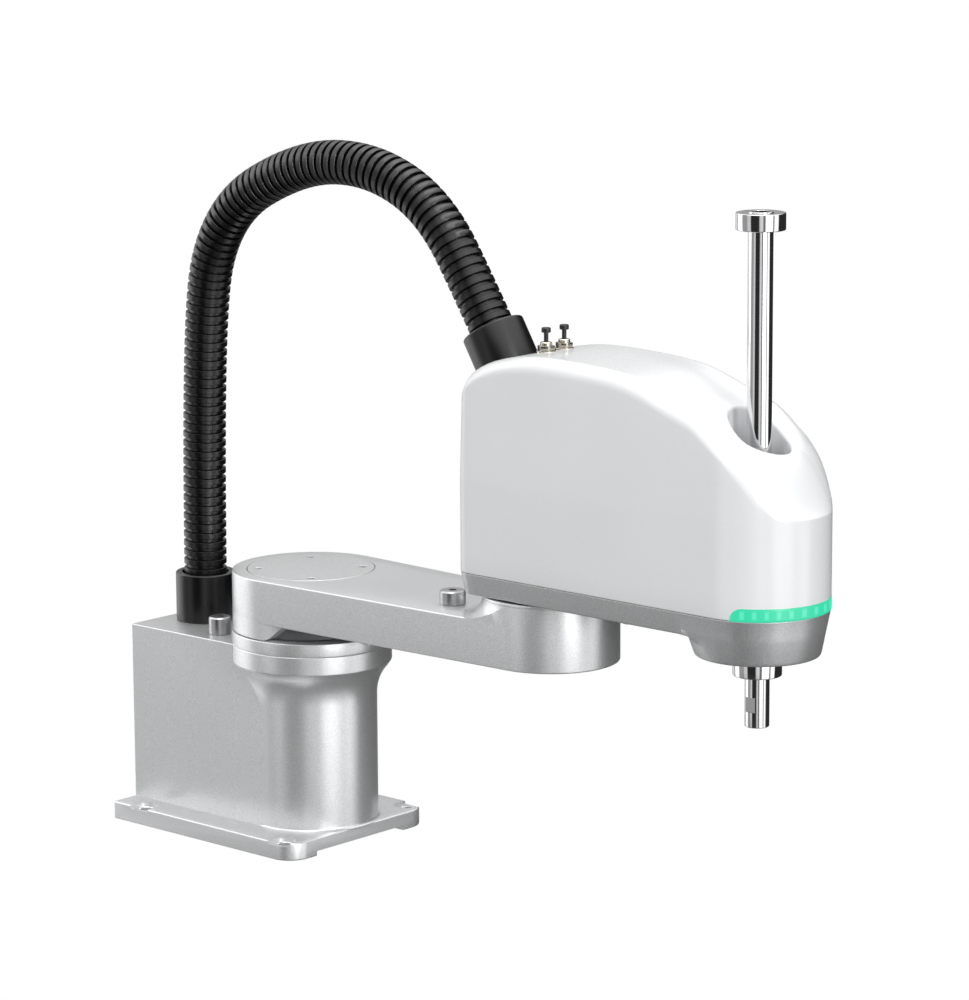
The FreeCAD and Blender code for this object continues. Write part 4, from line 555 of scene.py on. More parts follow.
def silver_paint(name, code, roughness):
    """Metallic lacquer: flakes, a fine orange peel, and a sheen that varies every
    70 mm or so. Real flakes are far finer, and are drawn 0.43 mm apart to show."""
    material, tree, shader, place = new_material(name)
    colour = linear(code)
    flake = add_node(tree, "ShaderNodeTexNoise",
                     {"Scale": 1000 / 0.435, "Detail": 2.0, "Roughness": 0.7},
                     {"Vector": place["Object"]})
    cloud = add_node(tree, "ShaderNodeTexNoise", {"Scale": 1000 / 71.4, "Detail": 2.0},
                     {"Vector": place["Object"]})
    speck = add_node(tree, "ShaderNodeMapRange", {"From Min": 0.34, "From Max": 0.66},
                     {"Value": flake.outputs["Fac"]})
    mixed = add_node(tree, "ShaderNodeMixRGB",
                     {"Color1": shade(colour, 0.74), "Color2": shade(colour, 1.24)},
                     {"Fac": speck.outputs["Result"]})
    rough = add_node(tree, "ShaderNodeMapRange",
                     {"To Min": roughness - 0.04, "To Max": roughness + 0.05},
                     {"Value": cloud.outputs["Fac"]})
    peel = add_node(tree, "ShaderNodeBump", {"Strength": 0.40, "Distance": 0.00012},
                    {"Height": flake.outputs["Fac"]})
    tree.links.new(mixed.outputs["Color"], shader.inputs["Base Color"])
    tree.links.new(rough.outputs["Result"], shader.inputs["Roughness"])
    tree.links.new(peel.outputs["Normal"], shader.inputs["Normal"])
    shader.inputs["Metallic"].default_value = 0.60
    return material


# Silver two-coat lacquer over the casting: pale grey on flat faces, a broad
# bright band down round ones, and a fine sparkle.
silver = silver_paint("silver_lacquer", "#dbdcdd", 0.30)

plate = column_of("base_plate_form", soften(
    [(plate_back, -plate_half), (plate_front, -plate_half), (plate_front, plate_half),
     (plate_back, plate_half)], [2.0, 16.4, 16.4, 2.0], 10, True), 0.0, plate_top, 1.0)
channel = column_of("channel_tool", [(-120, -channel_half), (120, -channel_half),
                                     (120, channel_half), (-120, channel_half)],
                    -5.0, channel_top, 0.0, 1)
combine(plate, "DIFFERENCE", channel)
for x in (-bolt_x, bolt_x):
    for side in (-1, 1):
        y = bolt_y * side
        slot_outline = ([(x - seat_r, 80.0 * side), (x - seat_r, y)]
                        + arc((x, y), seat_r, 180, 360 if side > 0 else 0, 24)[1:-1]
                        + [(x + seat_r, y), (x + seat_r, 80.0 * side)])
        if side < 0:
            slot_outline = slot_outline[::-1]
        seat = column_of("seat_tool", slot_outline, seat_z, 20.0, 0.0, 1)
        drill = lathe("drill_tool", [
            (0, -3), (bolt_r, -3), (bolt_r, seat_z - 0.6), (bolt_r + 0.6, seat_z + 0.1),
            (bolt_r + 0.6, 14), (0, 14)], x, y, 48)
        combine(plate, "DIFFERENCE", seat, drill)
house = column_of("base_house_form", (
    [(plate_back, house_half - 1), (plate_back, 1 - house_half), (plate_back + 1, -house_half)]
    + arc((shoulder_x, 0), house_r, -91, 89, 60) + [(plate_back + 1, house_half)]),
    11.0, deck_z, 0.8, sharp=24.0)
flare = lathe("base_flare_form", (
    [(30.0, 95.0), (column_r, 95.0)]
    + arc((column_r + flare_bend, 102.0), flare_bend, 180, 137.5, 17)
    + soften([(54.4, 124.6), (rim_r, 127.3), (rim_r, deck_z - 0.6), (rim_r - 0.6, deck_z)],
             [0, 1.6, 0.5, 0], 4)[1:]
    + [(30.0, deck_z)]), shoulder_x, 0.0, 160, 24.0)
foot = lathe("base_foot_form", [(40, 12.0), (47.4, 12.0)]
             + arc((47.7, 14.5), 2.0, 270, 180, 5) + [(40, 14.5)], shoulder_x, 0.0, 160)
window = column_of("window_tool", [(-104, -36), (-95, -36), (-95, 36), (-104, 36)],
                   38.0, 122.0, 0.0, 1)
lead = lathe("lead_tool", [(0, 120), (cable_r, 120), (cable_r, 150), (0, 150)], cable_x, 0.0, 48)
combine(house, "UNION", flare)
combine(house, "DIFFERENCE", window, lead)
dress(join("base_body", [plate, house, foot]), silver, "base", "base_casting",
      slot="silver_paint")


# First joint's fixed ring: an aluminium ring turned on a lathe and bolted on
# the rim from inside. It leaves a narrow dark gap under the first arm.
bearing = lathe("shoulder_ring", soften(
    [(41.0, deck_z), (rim_r, deck_z), (rim_r, deck_z + 9.3), (41.0, deck_z + 9.3)],
    [0, 0.5, 0.7, 0], 3, True), shoulder_x, 0.0, 160)
dress(bearing, silver, "base", "j1_bearing_ring", slot="silver_paint")


# Stop pins of the first joint: turned steel studs screwed into the deck behind
# the shoulder, each with a chamfered top and a hexagon socket.
base_pin_r, base_pin_tall, base_pin_back, base_pin_side = 8.0, 12.5, 64.0, 28.0


def turned_metal(name, code, roughness, lines):
    """Turned or ground metal: tool lines round the axis. They are drawn a little
    coarser than real ones, at three to a millimetre, and about 17 mm long."""
    material, tree, shader, place = new_material(name)
    colour = linear(code)
    stretch = add_node(tree, "ShaderNodeMapping",
                       {"Scale": (60.0, 60.0, 3000.0)},
                       {"Vector": place["Object"]})
    streak = add_node(tree, "ShaderNodeTexNoise",
                      {"Scale": 1.0, "Detail": 3.0, "Roughness": 0.6},
                      {"Vector": stretch.outputs["Vector"]})
    stripe = add_node(tree, "ShaderNodeMapRange", {"From Min": 0.3, "From Max": 0.7},
                      {"Value": streak.outputs["Fac"]})
    mixed = add_node(tree, "ShaderNodeMixRGB", {"Color1": shade(colour, 0.9), "Color2": colour},
                     {"Fac": stripe.outputs["Result"]})
    rough = add_node(tree, "ShaderNodeMapRange",
                     {"To Min": max(0.02, roughness - 0.03), "To Max": roughness + 0.05},
                     {"Value": streak.outputs["Fac"]})
    groove = add_node(tree, "ShaderNodeBump", {"Strength": lines, "Distance": 0.00005},
                      {"Height": streak.outputs["Fac"]})
    tree.links.new(mixed.outputs["Color"], shader.inputs["Base Color"])
    tree.links.new(rough.outputs["Result"], shader.inputs["Roughness"])
    tree.links.new(groove.outputs["Normal"], shader.inputs["Normal"])
    shader.inputs["Metallic"].default_value = 1.0
    return material


# Steel straight from the lathe: grey with soft light and dark bands up its side.
steel = turned_metal("turned_steel", "#b9b9bb", 0.32, 0.25)

row_group = bpy.data.node_groups.new("row_of_pieces", "GeometryNodeTree")
for name, kind in (("Geometry", "Geometry"), ("Count", "Int"), ("Step", "Vector"),
                   ("Finish", "Material")):
    row_group.interface.new_socket(name, in_out="INPUT", socket_type="NodeSocket" + kind)
row_group.interface.new_socket("Geometry", in_out="OUTPUT", socket_type="NodeSocketGeometry")
given = add_node(row_group, "NodeGroupInput").outputs
row = add_node(row_group, "GeometryNodeMeshLine", {},
               {"Count": given["Count"], "Offset": given["Step"]})
copies = add_node(row_group, "GeometryNodeInstanceOnPoints", {},
                  {"Points": row.outputs["Mesh"], "Instance": given["Geometry"]})
whole = add_node(row_group, "GeometryNodeRealizeInstances", {},
                 {"Geometry": copies.outputs["Instances"]})
painted = add_node(row_group, "GeometryNodeSetMaterial", {},
                   {"Geometry": whole.outputs["Geometry"], "Material": given["Finish"]})
add_node(row_group, "NodeGroupOutput", {}, {"Geometry": painted.outputs["Geometry"]})


def repeat(piece, count, step, material):
    """Copies a piece along a line of equal steps."""
    return grow(piece, row_group, {"Count": count, "Step": [0.001 * c for c in step],
                                   "Finish": material})


def stop_pin(name, x, y, radius, low, high):
    """Stud with a chamfered top and a hexagon socket 3 mm deep."""
    body = lathe(name, soften(
        [(0, low), (radius - 0.4, low), (radius, low + 0.4), (radius, high - 1.0),
         (radius - 1.0, high), (0, high)], [0, 0, 0, 0.4, 0.4, 0], 3), x, y, 56)
    socket = column_of("socket_tool", arc((x, y), 3.0, 0, 300, 5), high - 3.0, high + 2.0, 0.0, 1)
    return combine(body, "DIFFERENCE", socket)


pins = stop_pin("base_pins", shoulder_x - base_pin_back, -base_pin_side, base_pin_r, deck_z,
                deck_z + base_pin_tall)
repeat(pins, 2, (0.0, 2 * base_pin_side, 0.0), steel)
dress(pins, steel, "base", "base_stop_pins", slot="zinc_screw")


# Base collar: black moulded socket with a rounded mouth, screwed down from
# inside the housing. The conduit is pushed into it.
collar_r, collar_bore, collar_tall, collar_lip = 21.5, 16.7, 35.2, 2.6
collar_shape = soften(
    [(collar_bore, 0), (collar_r, 0), (collar_r, collar_tall),
     (collar_r - collar_lip, collar_tall + 0.01), (collar_bore, collar_tall)],
    [0, 0.8, 1.6, 0.6, 0.8], 5, True)
# Glass-filled black plastic: as dark as the hose, with one soft band of light.
collar_black = moulded("black_moulded_collar", "#060607", 0.30, 1.43, 0.08)
collar = lathe("base_collar_body", [(r, z + deck_z) for r, z in collar_shape], cable_x, 0.0, 112)
dress(collar, collar_black, "base", "base_conduit_collar", slot="black_plastic")


# Rear panel: bare aluminium sheet that closes the window in the housing's back
# and carries the sockets, the ports and four screws. The camera can't see it.
panel_wide, panel_tall, panel_z, panel_sheet = 71.6, 83.6, 80.0, 2.0


def onto_wall(piece, x, y, z):
    """Lays a piece that was made upright on a rear wall, its top towards -X."""
    piece.data.transform(Matrix(((0, 0, -1, 0.001 * x), (0, 1, 0, 0.001 * y),
                                 (1, 0, 0, 0.001 * z), (0, 0, 0, 1))))
    return piece


def wall_plate(name, y, z, wide, tall, deep, corner, x=plate_back, edge=0.4):
    """Rounded plate on the rear wall, standing out from x towards -X."""
    plan = soften([(-tall / 2, -wide / 2), (tall / 2, -wide / 2), (tall / 2, wide / 2),
                   (-tall / 2, wide / 2)], corner, 5, True)
    return onto_wall(column_of(name, plan, 0.0, deep, edge, 2), x, y, z)


# Milled aluminium, left bare: mid grey with fine lines and a soft shine.
alloy = turned_metal("machined_aluminium", "#b5b7ba", 0.34, 0.3)
rear_panel = wall_plate("rear_panel", 0.0, panel_z, panel_wide, panel_tall, panel_sheet, 2.0,
                        x=plate_back + panel_sheet)
dress(rear_panel, alloy, "base", "base_rear_panel", slot="bare_plate")


# Rear sockets for the mains and the signals: flanged shells of black metal with
# a hollow mouth and rows of contact pins, screwed on the panel.

# Powder coat: near black and dull, with a slight texture.
motor_black = moulded("black_motor_paint", "#1b1b1d", 0.45, 1.25, 0.2)
# Tinned brass: pale and yellowish, fairly bright.
contact = turned_metal("tinned_contact", "#c9c4b4", 0.3, 0.1)


def socket_body(name, z, wide, tall, deep, columns, rows):
    """Flanged shell with a hollow mouth and a field of contact pins."""
    shell_x = plate_back - 1.0
    flange = wall_plate("flange", 0.0, z, wide + 12.0, tall + 6.0, 1.5, 2.0)
    shell = wall_plate("shell", 0.0, z, wide, tall, deep, 2.5, x=shell_x)
    mouth = wall_plate("mouth_tool", 0.0, z, wide - 3.0, tall - 3.0, deep, 1.6,
                       x=shell_x - 1.6, edge=0.0)
    combine(shell, "DIFFERENCE", mouth)
    core = wall_plate("core", 0.0, z, wide - 9.0, tall - 7.0, deep - 1.6, 0.8, x=shell_x)
    pitch_y = (wide - 14.0) / (columns - 1)
    pitch_z = (tall - 10.0) / (rows - 1) if rows > 1 else 0.0
    pin = wall_plate("contact_pin", (wide - 14.0) / 2, z - (rows - 1) * pitch_z / 2,
                     1.2, 1.2, 1.0, 0.3, x=shell_x - deep + 1.6, edge=0.2)
    repeat(pin, columns, (0.0, -pitch_y, 0.0), contact)
    repeat(pin, rows, (0.0, 0.0, pitch_z), contact)
    black_faces = sum(len(part.data.polygons) for part in (flange, shell, core))
    body = join(name, [flange, shell, core, pin])
    body.data.materials.append(motor_black)
    body.data.materials.append(contact)
    for face in body.data.polygons:
        face.material_index = 0 if face.index < black_faces else 1
    return body


for name, node, z, wide, tall, deep, columns, rows in (
        ("power_socket", "base_power_socket", 99.0, 52.0, 20.0, 7.0, 6, 2),
        ("signal_socket", "base_signal_socket", 70.0, 40.0, 12.0, 5.0, 13, 1)):
    piece = socket_body(name, z, wide, tall, deep, columns, rows)
    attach(piece, "base")
    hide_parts(node)


# Air ports and panel screws: two nickelled hexagon nuts with a nozzle each, and
# four zinc-plated pan heads in the corners of the panel.
port_side, port_z = 12.0, 47.0
panel_screw_side, panel_screw_low, panel_screw_high = 32.9, 41.1, 118.9


def hexagon(name, x, y, across, low, high, edge=0.4):
    """Six-sided nut with slightly rounded edges."""
    return column_of(name, soften(arc((x, y), across, 30, 330, 5), 0.5, 2, True), low, high,
                     edge, 2)


# Nickel on brass: a warm, fairly bright grey.
nickel = turned_metal("nickel_plated_brass", "#c3beb2", 0.22, 0.2)
port = join("air_ports", [
    onto_wall(hexagon("port_nut", 0.0, 0.0, 5.5, 0.0, 5.0), plate_back, -port_side, port_z),
    onto_wall(lathe("port_nozzle", soften(
        [(2.0, 4.0), (4.0, 4.0), (4.0, 11.0), (2.0, 11.0)], [0, 0, 0.8, 0.4], 3, True),
        steps=40), plate_back, -port_side, port_z)])
repeat(port, 2, (0.0, 2 * port_side, 0.0), nickel)
dress(port, nickel, "base", "base_air_ports", slot="nickel")

# Zinc plating: a cooler, darker grey than the nickel.
zinc = turned_metal("zinc_plated_screw", "#a9a9ab", 0.28, 0.2)
panel_screw = onto_wall(lathe("panel_screws", soften(
    [(0, 0.6), (1.2, 0.6), (1.2, 1.6), (2.3, 1.6), (2.3, 0.0), (0, 0.0)],
    [0, 0, 0, 0.4, 0, 0], 3), steps=40), plate_back, -panel_screw_side, panel_screw_low)
repeat(panel_screw, 2, (0.0, 2 * panel_screw_side, 0.0), zinc)
repeat(panel_screw, 2, (0.0, 0.0, panel_screw_high - panel_screw_low), zinc)
dress(panel_screw, zinc, "base", "base_panel_screws", slot="zinc_screw")


# Bottom sheet: bare aluminium cover let into the channel between the two rails,
# 1.5 mm thick and cut with rounded corners.
sheet_back, sheet_front, sheet_half, sheet_low = -96.7, 77.0, 43.7, 2.1
under = column_of("base_under_sheet", soften(
    [(sheet_back, -sheet_half), (sheet_front, -sheet_half), (sheet_front, sheet_half),
     (sheet_back, sheet_half)], 3.0, 4, True), sheet_low, channel_top, 0.3, 2)
dress(under, alloy, "base", "base_bottom_cover", slot="bare_plate")


# First arm: cast aluminium beam tangent to both hubs, painted silver. A scooped
# riser carries the elbow, and its underside is relieved behind the shoulder
# joint, where a narrower neck shows in the shade.
elbow_x = 263.0
hub_r, riser_r, neck_r = 55.65, 46.22, 47.0
hub_low, beam_low, beam_top, riser_top = 150.1, 161.3, 192.3, 206.5
lid_seat_r, lid_seat_z = 45.4, 189.4
relief_start, relief_run = 6.0, 20.0


def hull_outline(x1, r1, x2, r2, steps=72):
    """Outline of a beam round two hubs, with straight sides tangent to both."""
    far = 90 - math.degrees(math.asin((r1 - r2) / (x2 - x1)))
    return arc((x2, 0), r2, -far, far, steps) + arc((x1, 0), r1, far, 360 - far, steps)


beam = column_of("arm1_form", hull_outline(shoulder_x, hub_r, elbow_x, riser_r - 0.02),
                 beam_low, beam_top, 1.2, 4, 24.0)
combine(beam, "DIFFERENCE", lathe("lid_seat_tool", [
    (0, lid_seat_z), (lid_seat_r, lid_seat_z), (lid_seat_r, 193.5), (0, 193.5)],
    shoulder_x, 0.0, 160))
# The riser stands out by a hair over the beam's end and has a groove near its top.
riser = lathe("riser_form", soften(
    [(20.0, beam_low), (riser_r, beam_low), (riser_r, 204.1), (45.5, 204.1), (45.5, 204.6),
     (riser_r, 204.6), (riser_r, riser_top), (20.0, riser_top)],
    [0, 1.2, 0.2, 0, 0, 0.2, 0.5, 0], 4), elbow_x, 0.0, 192, 24.0)
scoop = lathe("scoop_form", (
    [(30.0, 185.0), (58.9, 185.0), (58.9, beam_top + 0.01)]
    + arc((58.9, 205.0), 12.7, 268, 182, 16) + [(30.0, 204.0)]), elbow_x, 0.0, 192, 24.0)
limit = column_of("scoop_limit", hull_outline(shoulder_x, hub_r - 0.02, elbow_x, riser_r - 0.04),
                  184.0, 210.0, 0.0, 1, 24.0)
combine(scoop, "INTERSECT", limit)
hub_side = [(hub_r, float(z)) for z in np.linspace(hub_low + 1.1, 163.0, 12)]
hub = lathe("hub_form", soften([(20.0, hub_low), (hub_r, hub_low)] + hub_side + [(20.0, 163.0)],
                               [0, 0.7] + [0] * 13, 3), shoulder_x, 0.0, 192, 24.0)
relief_side = [(relief_start, 149.0)]
for step in range(17):
    rise = (1 - math.cos(math.pi * step / 16)) / 2
    relief_side.append((relief_start + relief_run * step / 16, 150.0 + 11.3 * rise))
relief_side += [(70.0, beam_low), (70.0, 149.0)]
relief = ring_skin("relief_tool", [[(shoulder_x + x, y, z) for x, z in relief_side]
                                   for y in (-62.0, 62.0)])
combine(hub, "DIFFERENCE", relief)
neck = lathe("neck_form", [(20.0, hub_low), (neck_r - 0.4, hub_low), (neck_r, hub_low + 0.4),
                           (neck_r, 162.0), (20.0, 162.0)], shoulder_x, 0.0, 192, 24.0)
dress(join("arm1_body", [beam, riser, scoop, hub]), silver, "arm_1", "arm1_casting",
      slot="silver_paint")
# The same lacquer painted darker on the neck: painted shade in the recess under the beam.
recess_painted_shade = silver_paint("silver_lacquer_painted_shade", "#6f7072", 0.50)
dress(neck, recess_painted_shade, "arm_1", slot="silver_paint")


# Shoulder's stop block: cast lug under the first arm, painted with it. It meets
# a stop pin at each end of the swing.
def sector(name, x, ring_low, ring_high, half_angle, low, high):
    """Arc-shaped block about an upright axis."""
    plan = (arc((x, 0), ring_high, -half_angle, half_angle, 20)
            + arc((x, 0), ring_low, half_angle, -half_angle, 20))
    return column_of(name, plan, low, high, 0.8, 3, 30.0)


dress(sector("shoulder_stop", shoulder_x, 61.8, 77.8, 15.5, 150.3, 161.4), silver,
      "arm_1", "j1_stop_block", slot="silver_paint")


# Elbow's bottom cover: thin turned aluminium disc pressed into the foot of the
# riser and painted with the arm.
bottom_r, bottom_low = 37.7, 161.1
foot_cover = lathe("elbow_bottom", [
    (0, bottom_low), (bottom_r - 0.5, bottom_low), (bottom_r, bottom_low + 0.5),
    (bottom_r, 164.0), (0, 164.0)], elbow_x, 0.0, 128)
dress(foot_cover, silver, "arm_1", "arm1_bottom_cover", slot="silver_paint")


# Hub lid: thin aluminium disc let into the top of the shoulder, flush but for a
# hairline gap, painted, and held by four small zinc-plated socket screws.
lid_r, lid_top, lid_sink_r = 44.88, 192.45, 2.9
lid_screw_at = 36.7 * math.cos(math.radians(45))
lid_screw_r, lid_screw_low, lid_screw_top = 2.2, 190.0, 191.9
lid = lathe("hub_lid", [(0, 189.5), (lid_r, 189.5), (lid_r, lid_top - 0.15),
                        (lid_r - 0.18, lid_top), (0, lid_top)], shoulder_x, 0.0, 160)
for across, aside in ((1, 1), (-1, 1), (-1, -1), (1, -1)):
    sink = lathe("sink_tool", [
        (0, 190.8), (lid_sink_r, 190.8), (lid_sink_r, 192.2), (lid_sink_r + 0.2, 192.5),
        (lid_sink_r + 0.2, 195), (0, 195)],
        shoulder_x + across * lid_screw_at, aside * lid_screw_at, 32)
    combine(lid, "DIFFERENCE", sink)
dress(lid, silver, "arm_1", "hub_cover", slot="silver_paint")

screw_x, screw_y = shoulder_x - lid_screw_at, -lid_screw_at
lid_screws = lathe("hub_screws", soften(
    [(0, lid_screw_low), (lid_screw_r, lid_screw_low), (lid_screw_r, lid_screw_top),
     (0, lid_screw_top)], [0, 0, 0.3, 0], 3), screw_x, screw_y, 32)
combine(lid_screws, "DIFFERENCE", column_of(
    "socket_tool", arc((screw_x, screw_y), 1.25, 0, 300, 5), lid_screw_top - 0.8,
    lid_screw_top + 1.0, 0.0, 1))
repeat(lid_screws, 2, (2 * lid_screw_at, 0.0, 0.0), zinc)
repeat(lid_screws, 2, (0.0, 2 * lid_screw_at, 0.0), zinc)
dress(lid_screws, zinc, "arm_1", "hub_cover_screws", slot="zinc_screw")


# Stop pins of the elbow: the same kind of turned steel stud, a little thicker,
# screwed into the top of the beam behind the elbow.
elbow_pin_r, elbow_pin_tall, elbow_pin_back, elbow_pin_side = 9.0, 9.5, 70.2, 20.6
elbow_pins = stop_pin("elbow_pins", elbow_x - elbow_pin_back, -elbow_pin_side, elbow_pin_r,
                      beam_top, beam_top + elbow_pin_tall)
repeat(elbow_pins, 2, (0.0, 2 * elbow_pin_side, 0.0), steel)
dress(elbow_pins, steel, "arm_1", "arm1_stop_pins", slot="zinc_screw")


# Elbow seal: moulded rubber ring in the gap between the riser and the second
# arm, sprung into a groove.
seal_r, seal_bore, seal_low, seal_top = 44.0, 31.0, 206.2, 207.0
# Nitrile rubber: dull and dark, so that the gap reads as a black line.
rubber = moulded("black_rubber", "#171718", 0.68, 0.625, 0.35)
seal = lathe("elbow_seal", soften(
    [(seal_bore, seal_low), (seal_r, seal_low), (seal_r, seal_top), (seal_bore, seal_top)],
    [0, 0.3, 0.5, 0], 3, True), elbow_x, 0.0, 128)
dress(seal, rubber, "arm_1", "j2_seal_ring", slot="black_rubber")


# Second arm's casting: shallow drafted tray of die-cast aluminium, with a round
# boss under its nose that guides the spindle. Painted like the first arm.
tool_x = 438.0
arm2_half, arm2_back, arm2_corner = 46.75, 45.5, 12.0
tray_low, tray_top, tray_lip = 207.3, 222.2, 221.3
boss_r, boss_low, boss_hollow, bore_r = 43.0, 192.0, 8.0, 15.8


def bullet(inset, steps=48, corner_steps=10):
    """Plan of the second arm, counterclockwise from the back's middle."""
    half, back = arm2_half - inset, elbow_x - arm2_back + inset
    corner = max(arm2_corner - inset, 2.0)
    right_corner = arc((back + corner, corner - half), corner, 180, 270, corner_steps)
    left_corner = arc((back + corner, half - corner), corner, 90, 180, corner_steps)
    nose = arc((tool_x, 0), half, -90, 90, 2 * steps)
    side = np.linspace(back + corner, tool_x, 40)[1:-1]
    rear = np.linspace(half - corner, corner - half, 17)[1:-1]
    return (right_corner + [(x, -half) for x in side] + nose
            + [(x, half) for x in side[::-1]] + left_corner + [(back, y) for y in rear])


def stacked(levels):
    """Rings of the plan at pairs of inset and height."""
    return [[(x, y, z) for x, y in bullet(inset)] for inset, z in levels]


# The same lacquer painted darker for the tray, its nose boss and its stop block: painted shade for
# the tray's leaning sides.
shaded_silver_lacquer = silver_paint("silver_lacquer_tray_painted_shade", "#b6b7b8", 0.34)
tray = ring_skin("arm2_tray_form", stacked((
    (4.6, tray_low), (3.7, 207.4), (3.1, 208.0), (2.85, 208.8), (0.35, tray_lip),
    (0.3, 221.7), (0.45, 222.0), (0.8, tray_top), (6.0, tray_top))), sharp=30.0)
boss = lathe("nose_form", (
    [(10.0, 212.0), (51.7, 212.0), (51.7, tray_low + 0.05)]
    + arc((51.3, 199.3), boss_hollow, 90, 170, 10)[1:]
    + soften([(boss_r, 200.5), (40.3, boss_low), (10.0, boss_low)], [0, 1.3, 0], 4)[1:]),
    tool_x, 0.0, 160, 30.0)
combine(boss, "INTERSECT", ring_skin("nose_limit", stacked((
    (6.9, 188.0), (3.15, tray_low), (2.4, 211.0), (2.4, 213.0))), sharp=30.0))
combine(tray, "UNION", boss)
bore = lathe("bore_tool", [(0, 180), (bore_r, 180), (bore_r, 230), (0, 230)], tool_x, 0.0, 96)
combine(tray, "DIFFERENCE", bore)
dress(tray, shaded_silver_lacquer, "arm_2", "arm2_casting", slot="cast_grey")


# Elbow's stop block: cast lug under the second arm, behind its joint. It meets
# a pin of the first arm at each end of the swing.
# In the tray's darker copy of the lacquer, which is painted shade.
dress(sector("elbow_stop", elbow_x, 65.2, 81.2, 11.4, 198.8, 207.4), shaded_silver_lacquer,
      "arm_2", "j2_stop_block", slot="cast_grey")


# Moulded cover: white plastic shell over the second arm, screwed on from behind.
# Upright walls with a crease, then a slight lean, a long crest that slopes down
# to a domed nose, and the well that the spindle rises from.

# Heights of the crest along the arm, from the elbow's axis forwards.
crest_x = [-45.5, -40.0, -31.0, -12.0, 10.0, 38.0, 72.0, 106.0, 139.0, 158.0, 180.0, 200.0,
           221.75]
crest_z = [345.0, 351.5, 358.8, 366.6, 370.6, 371.6, 370.2, 365.9, 354.6, 347.4, 331.8, 321.6,
           291.0]
shell_low, crease_z, wall_lean, wall_thick, roof_thick = 222.35, 285.0, 1.5, 3.0, 3.2
well_r, well_floor, well_hole, lip_r = 19.6, 301.0, 11.5, 2.6
# The top rolls over into the walls: by 11 mm along the sides, and round the
# nose by nearly the whole way from the well, down to the crease.
side_long = tool_x - elbow_x
roll_side, roll_nose = 11.0, arm2_half - well_r - lip_r
roll_from, roll_to = 165.0, 215.0
edge_along = [roll_from, 180.8, 194.4, 207.1, 219.7, 230.0, 248.5]
edge_low = [321.4, 307.2, 293.0, 286.4, 285.4, 285.3]


def smooth_through(knots, values, wanted):
    """Natural cubic through points, by solving for its second derivatives."""
    count = len(knots)
    step = np.diff(knots)
    matrix = np.eye(count)
    side = np.zeros(count)
    for k in range(1, count - 1):
        matrix[k, k - 1] = step[k - 1]
        matrix[k, k] = 2 * (step[k - 1] + step[k])
        matrix[k, k + 1] = step[k]
        side[k] = 6 * ((values[k + 1] - values[k]) / step[k]
                       - (values[k] - values[k - 1]) / step[k - 1])
    second = np.linalg.solve(matrix, side)
    index = np.clip(np.searchsorted(knots, wanted) - 1, 0, count - 2)
    width = step[index]
    a = (knots[index + 1] - wanted) / width
    b = (wanted - knots[index]) / width
    left, right = np.array(values)[index], np.array(values)[index + 1]
    return (a * left + b * right + ((a ** 3 - a) * second[index]
            + (b ** 3 - b) * second[index + 1]) * width ** 2 / 6)


gaps = np.hypot(np.diff(crest_x), np.diff(crest_z))
knots = np.concatenate([[0.0], np.cumsum(gaps)]) / gaps.sum()
curve_x = smooth_through(knots, crest_x, np.linspace(0, 1, 400))
curve_z = smooth_through(knots, crest_z, np.linspace(0, 1, 400))
rise_x, rise_z = np.gradient(curve_x), np.gradient(curve_z)
normal_x = -rise_z / np.hypot(rise_x, rise_z)
normal_z = rise_x / np.hypot(rise_x, rise_z)


def crest(x):
    """Height of the crest at a place along the arm."""
    return float(np.interp(x - elbow_x, curve_x, curve_z))


edge_height = [crest(elbow_x + roll_from) - roll_side] + edge_low


def lean(z):
    """How far the wall has leaned in at a height."""
    return max(0.0, z - crease_z) * math.tan(math.radians(wall_lean))


def rolled_edge(place, out, radius, steps):
    """Rounding between the well's upright wall and the crest, as a ball rolls
    along it: points from the wall to the crest."""
    offset_x, offset_z = curve_x - radius * normal_x, curve_z - radius * normal_z
    x, y = place[0] - out[0] * radius, place[1] - out[1] * radius
    height = float(np.interp(x - elbow_x, offset_x, offset_z))
    last = Vector((float(np.interp(x - elbow_x, offset_x, normal_x)), 0.0,
                   float(np.interp(x - elbow_x, offset_x, normal_z)))).normalized()
    first = Vector((out[0], out[1], 0.0))
    sweep = first.angle(last)
    result = []
    for step in range(steps + 1):
        share = step / steps
        way = (first * math.sin((1 - share) * sweep)
               + last * math.sin(share * sweep)) / math.sin(sweep)
        result.append(Vector((x, y, height)) + way * radius)
    return result


def roll_of(x, y):
    """Where the top's rounding starts at a place on the outline: how high, how
    wide, and the power of its curve."""
    along = x - elbow_x
    if along > side_long:
        along = side_long + arm2_half * math.atan2(along - side_long, abs(y))
    if along <= roll_from:
        return crest(x) - roll_side, roll_side, 0.5
    share = min(1.0, (along - roll_from) / (roll_to - roll_from))
    return (float(np.interp(along, edge_along, edge_height)),
            roll_side + (roll_nose - roll_side) * share, 0.5 + 0.16 * share)


def skin_height(x, depth, low, wide, power):
    """Height of the top at a depth inside the wall."""
    share = max(0.0, 1.0 - max(0.0, depth) / wide)
    return low + (crest(x) - low) * (1.0 - share ** 2) ** power


# High-gloss ABS: clean white with crisp edges to its highlights. Its grain is
# only a trace of orange peel, drawn at 0.7 mm.
gloss_white = moulded("white_gloss_plastic", "#e7e8e9", 0.26, 0.714, 0.05, 0.35)

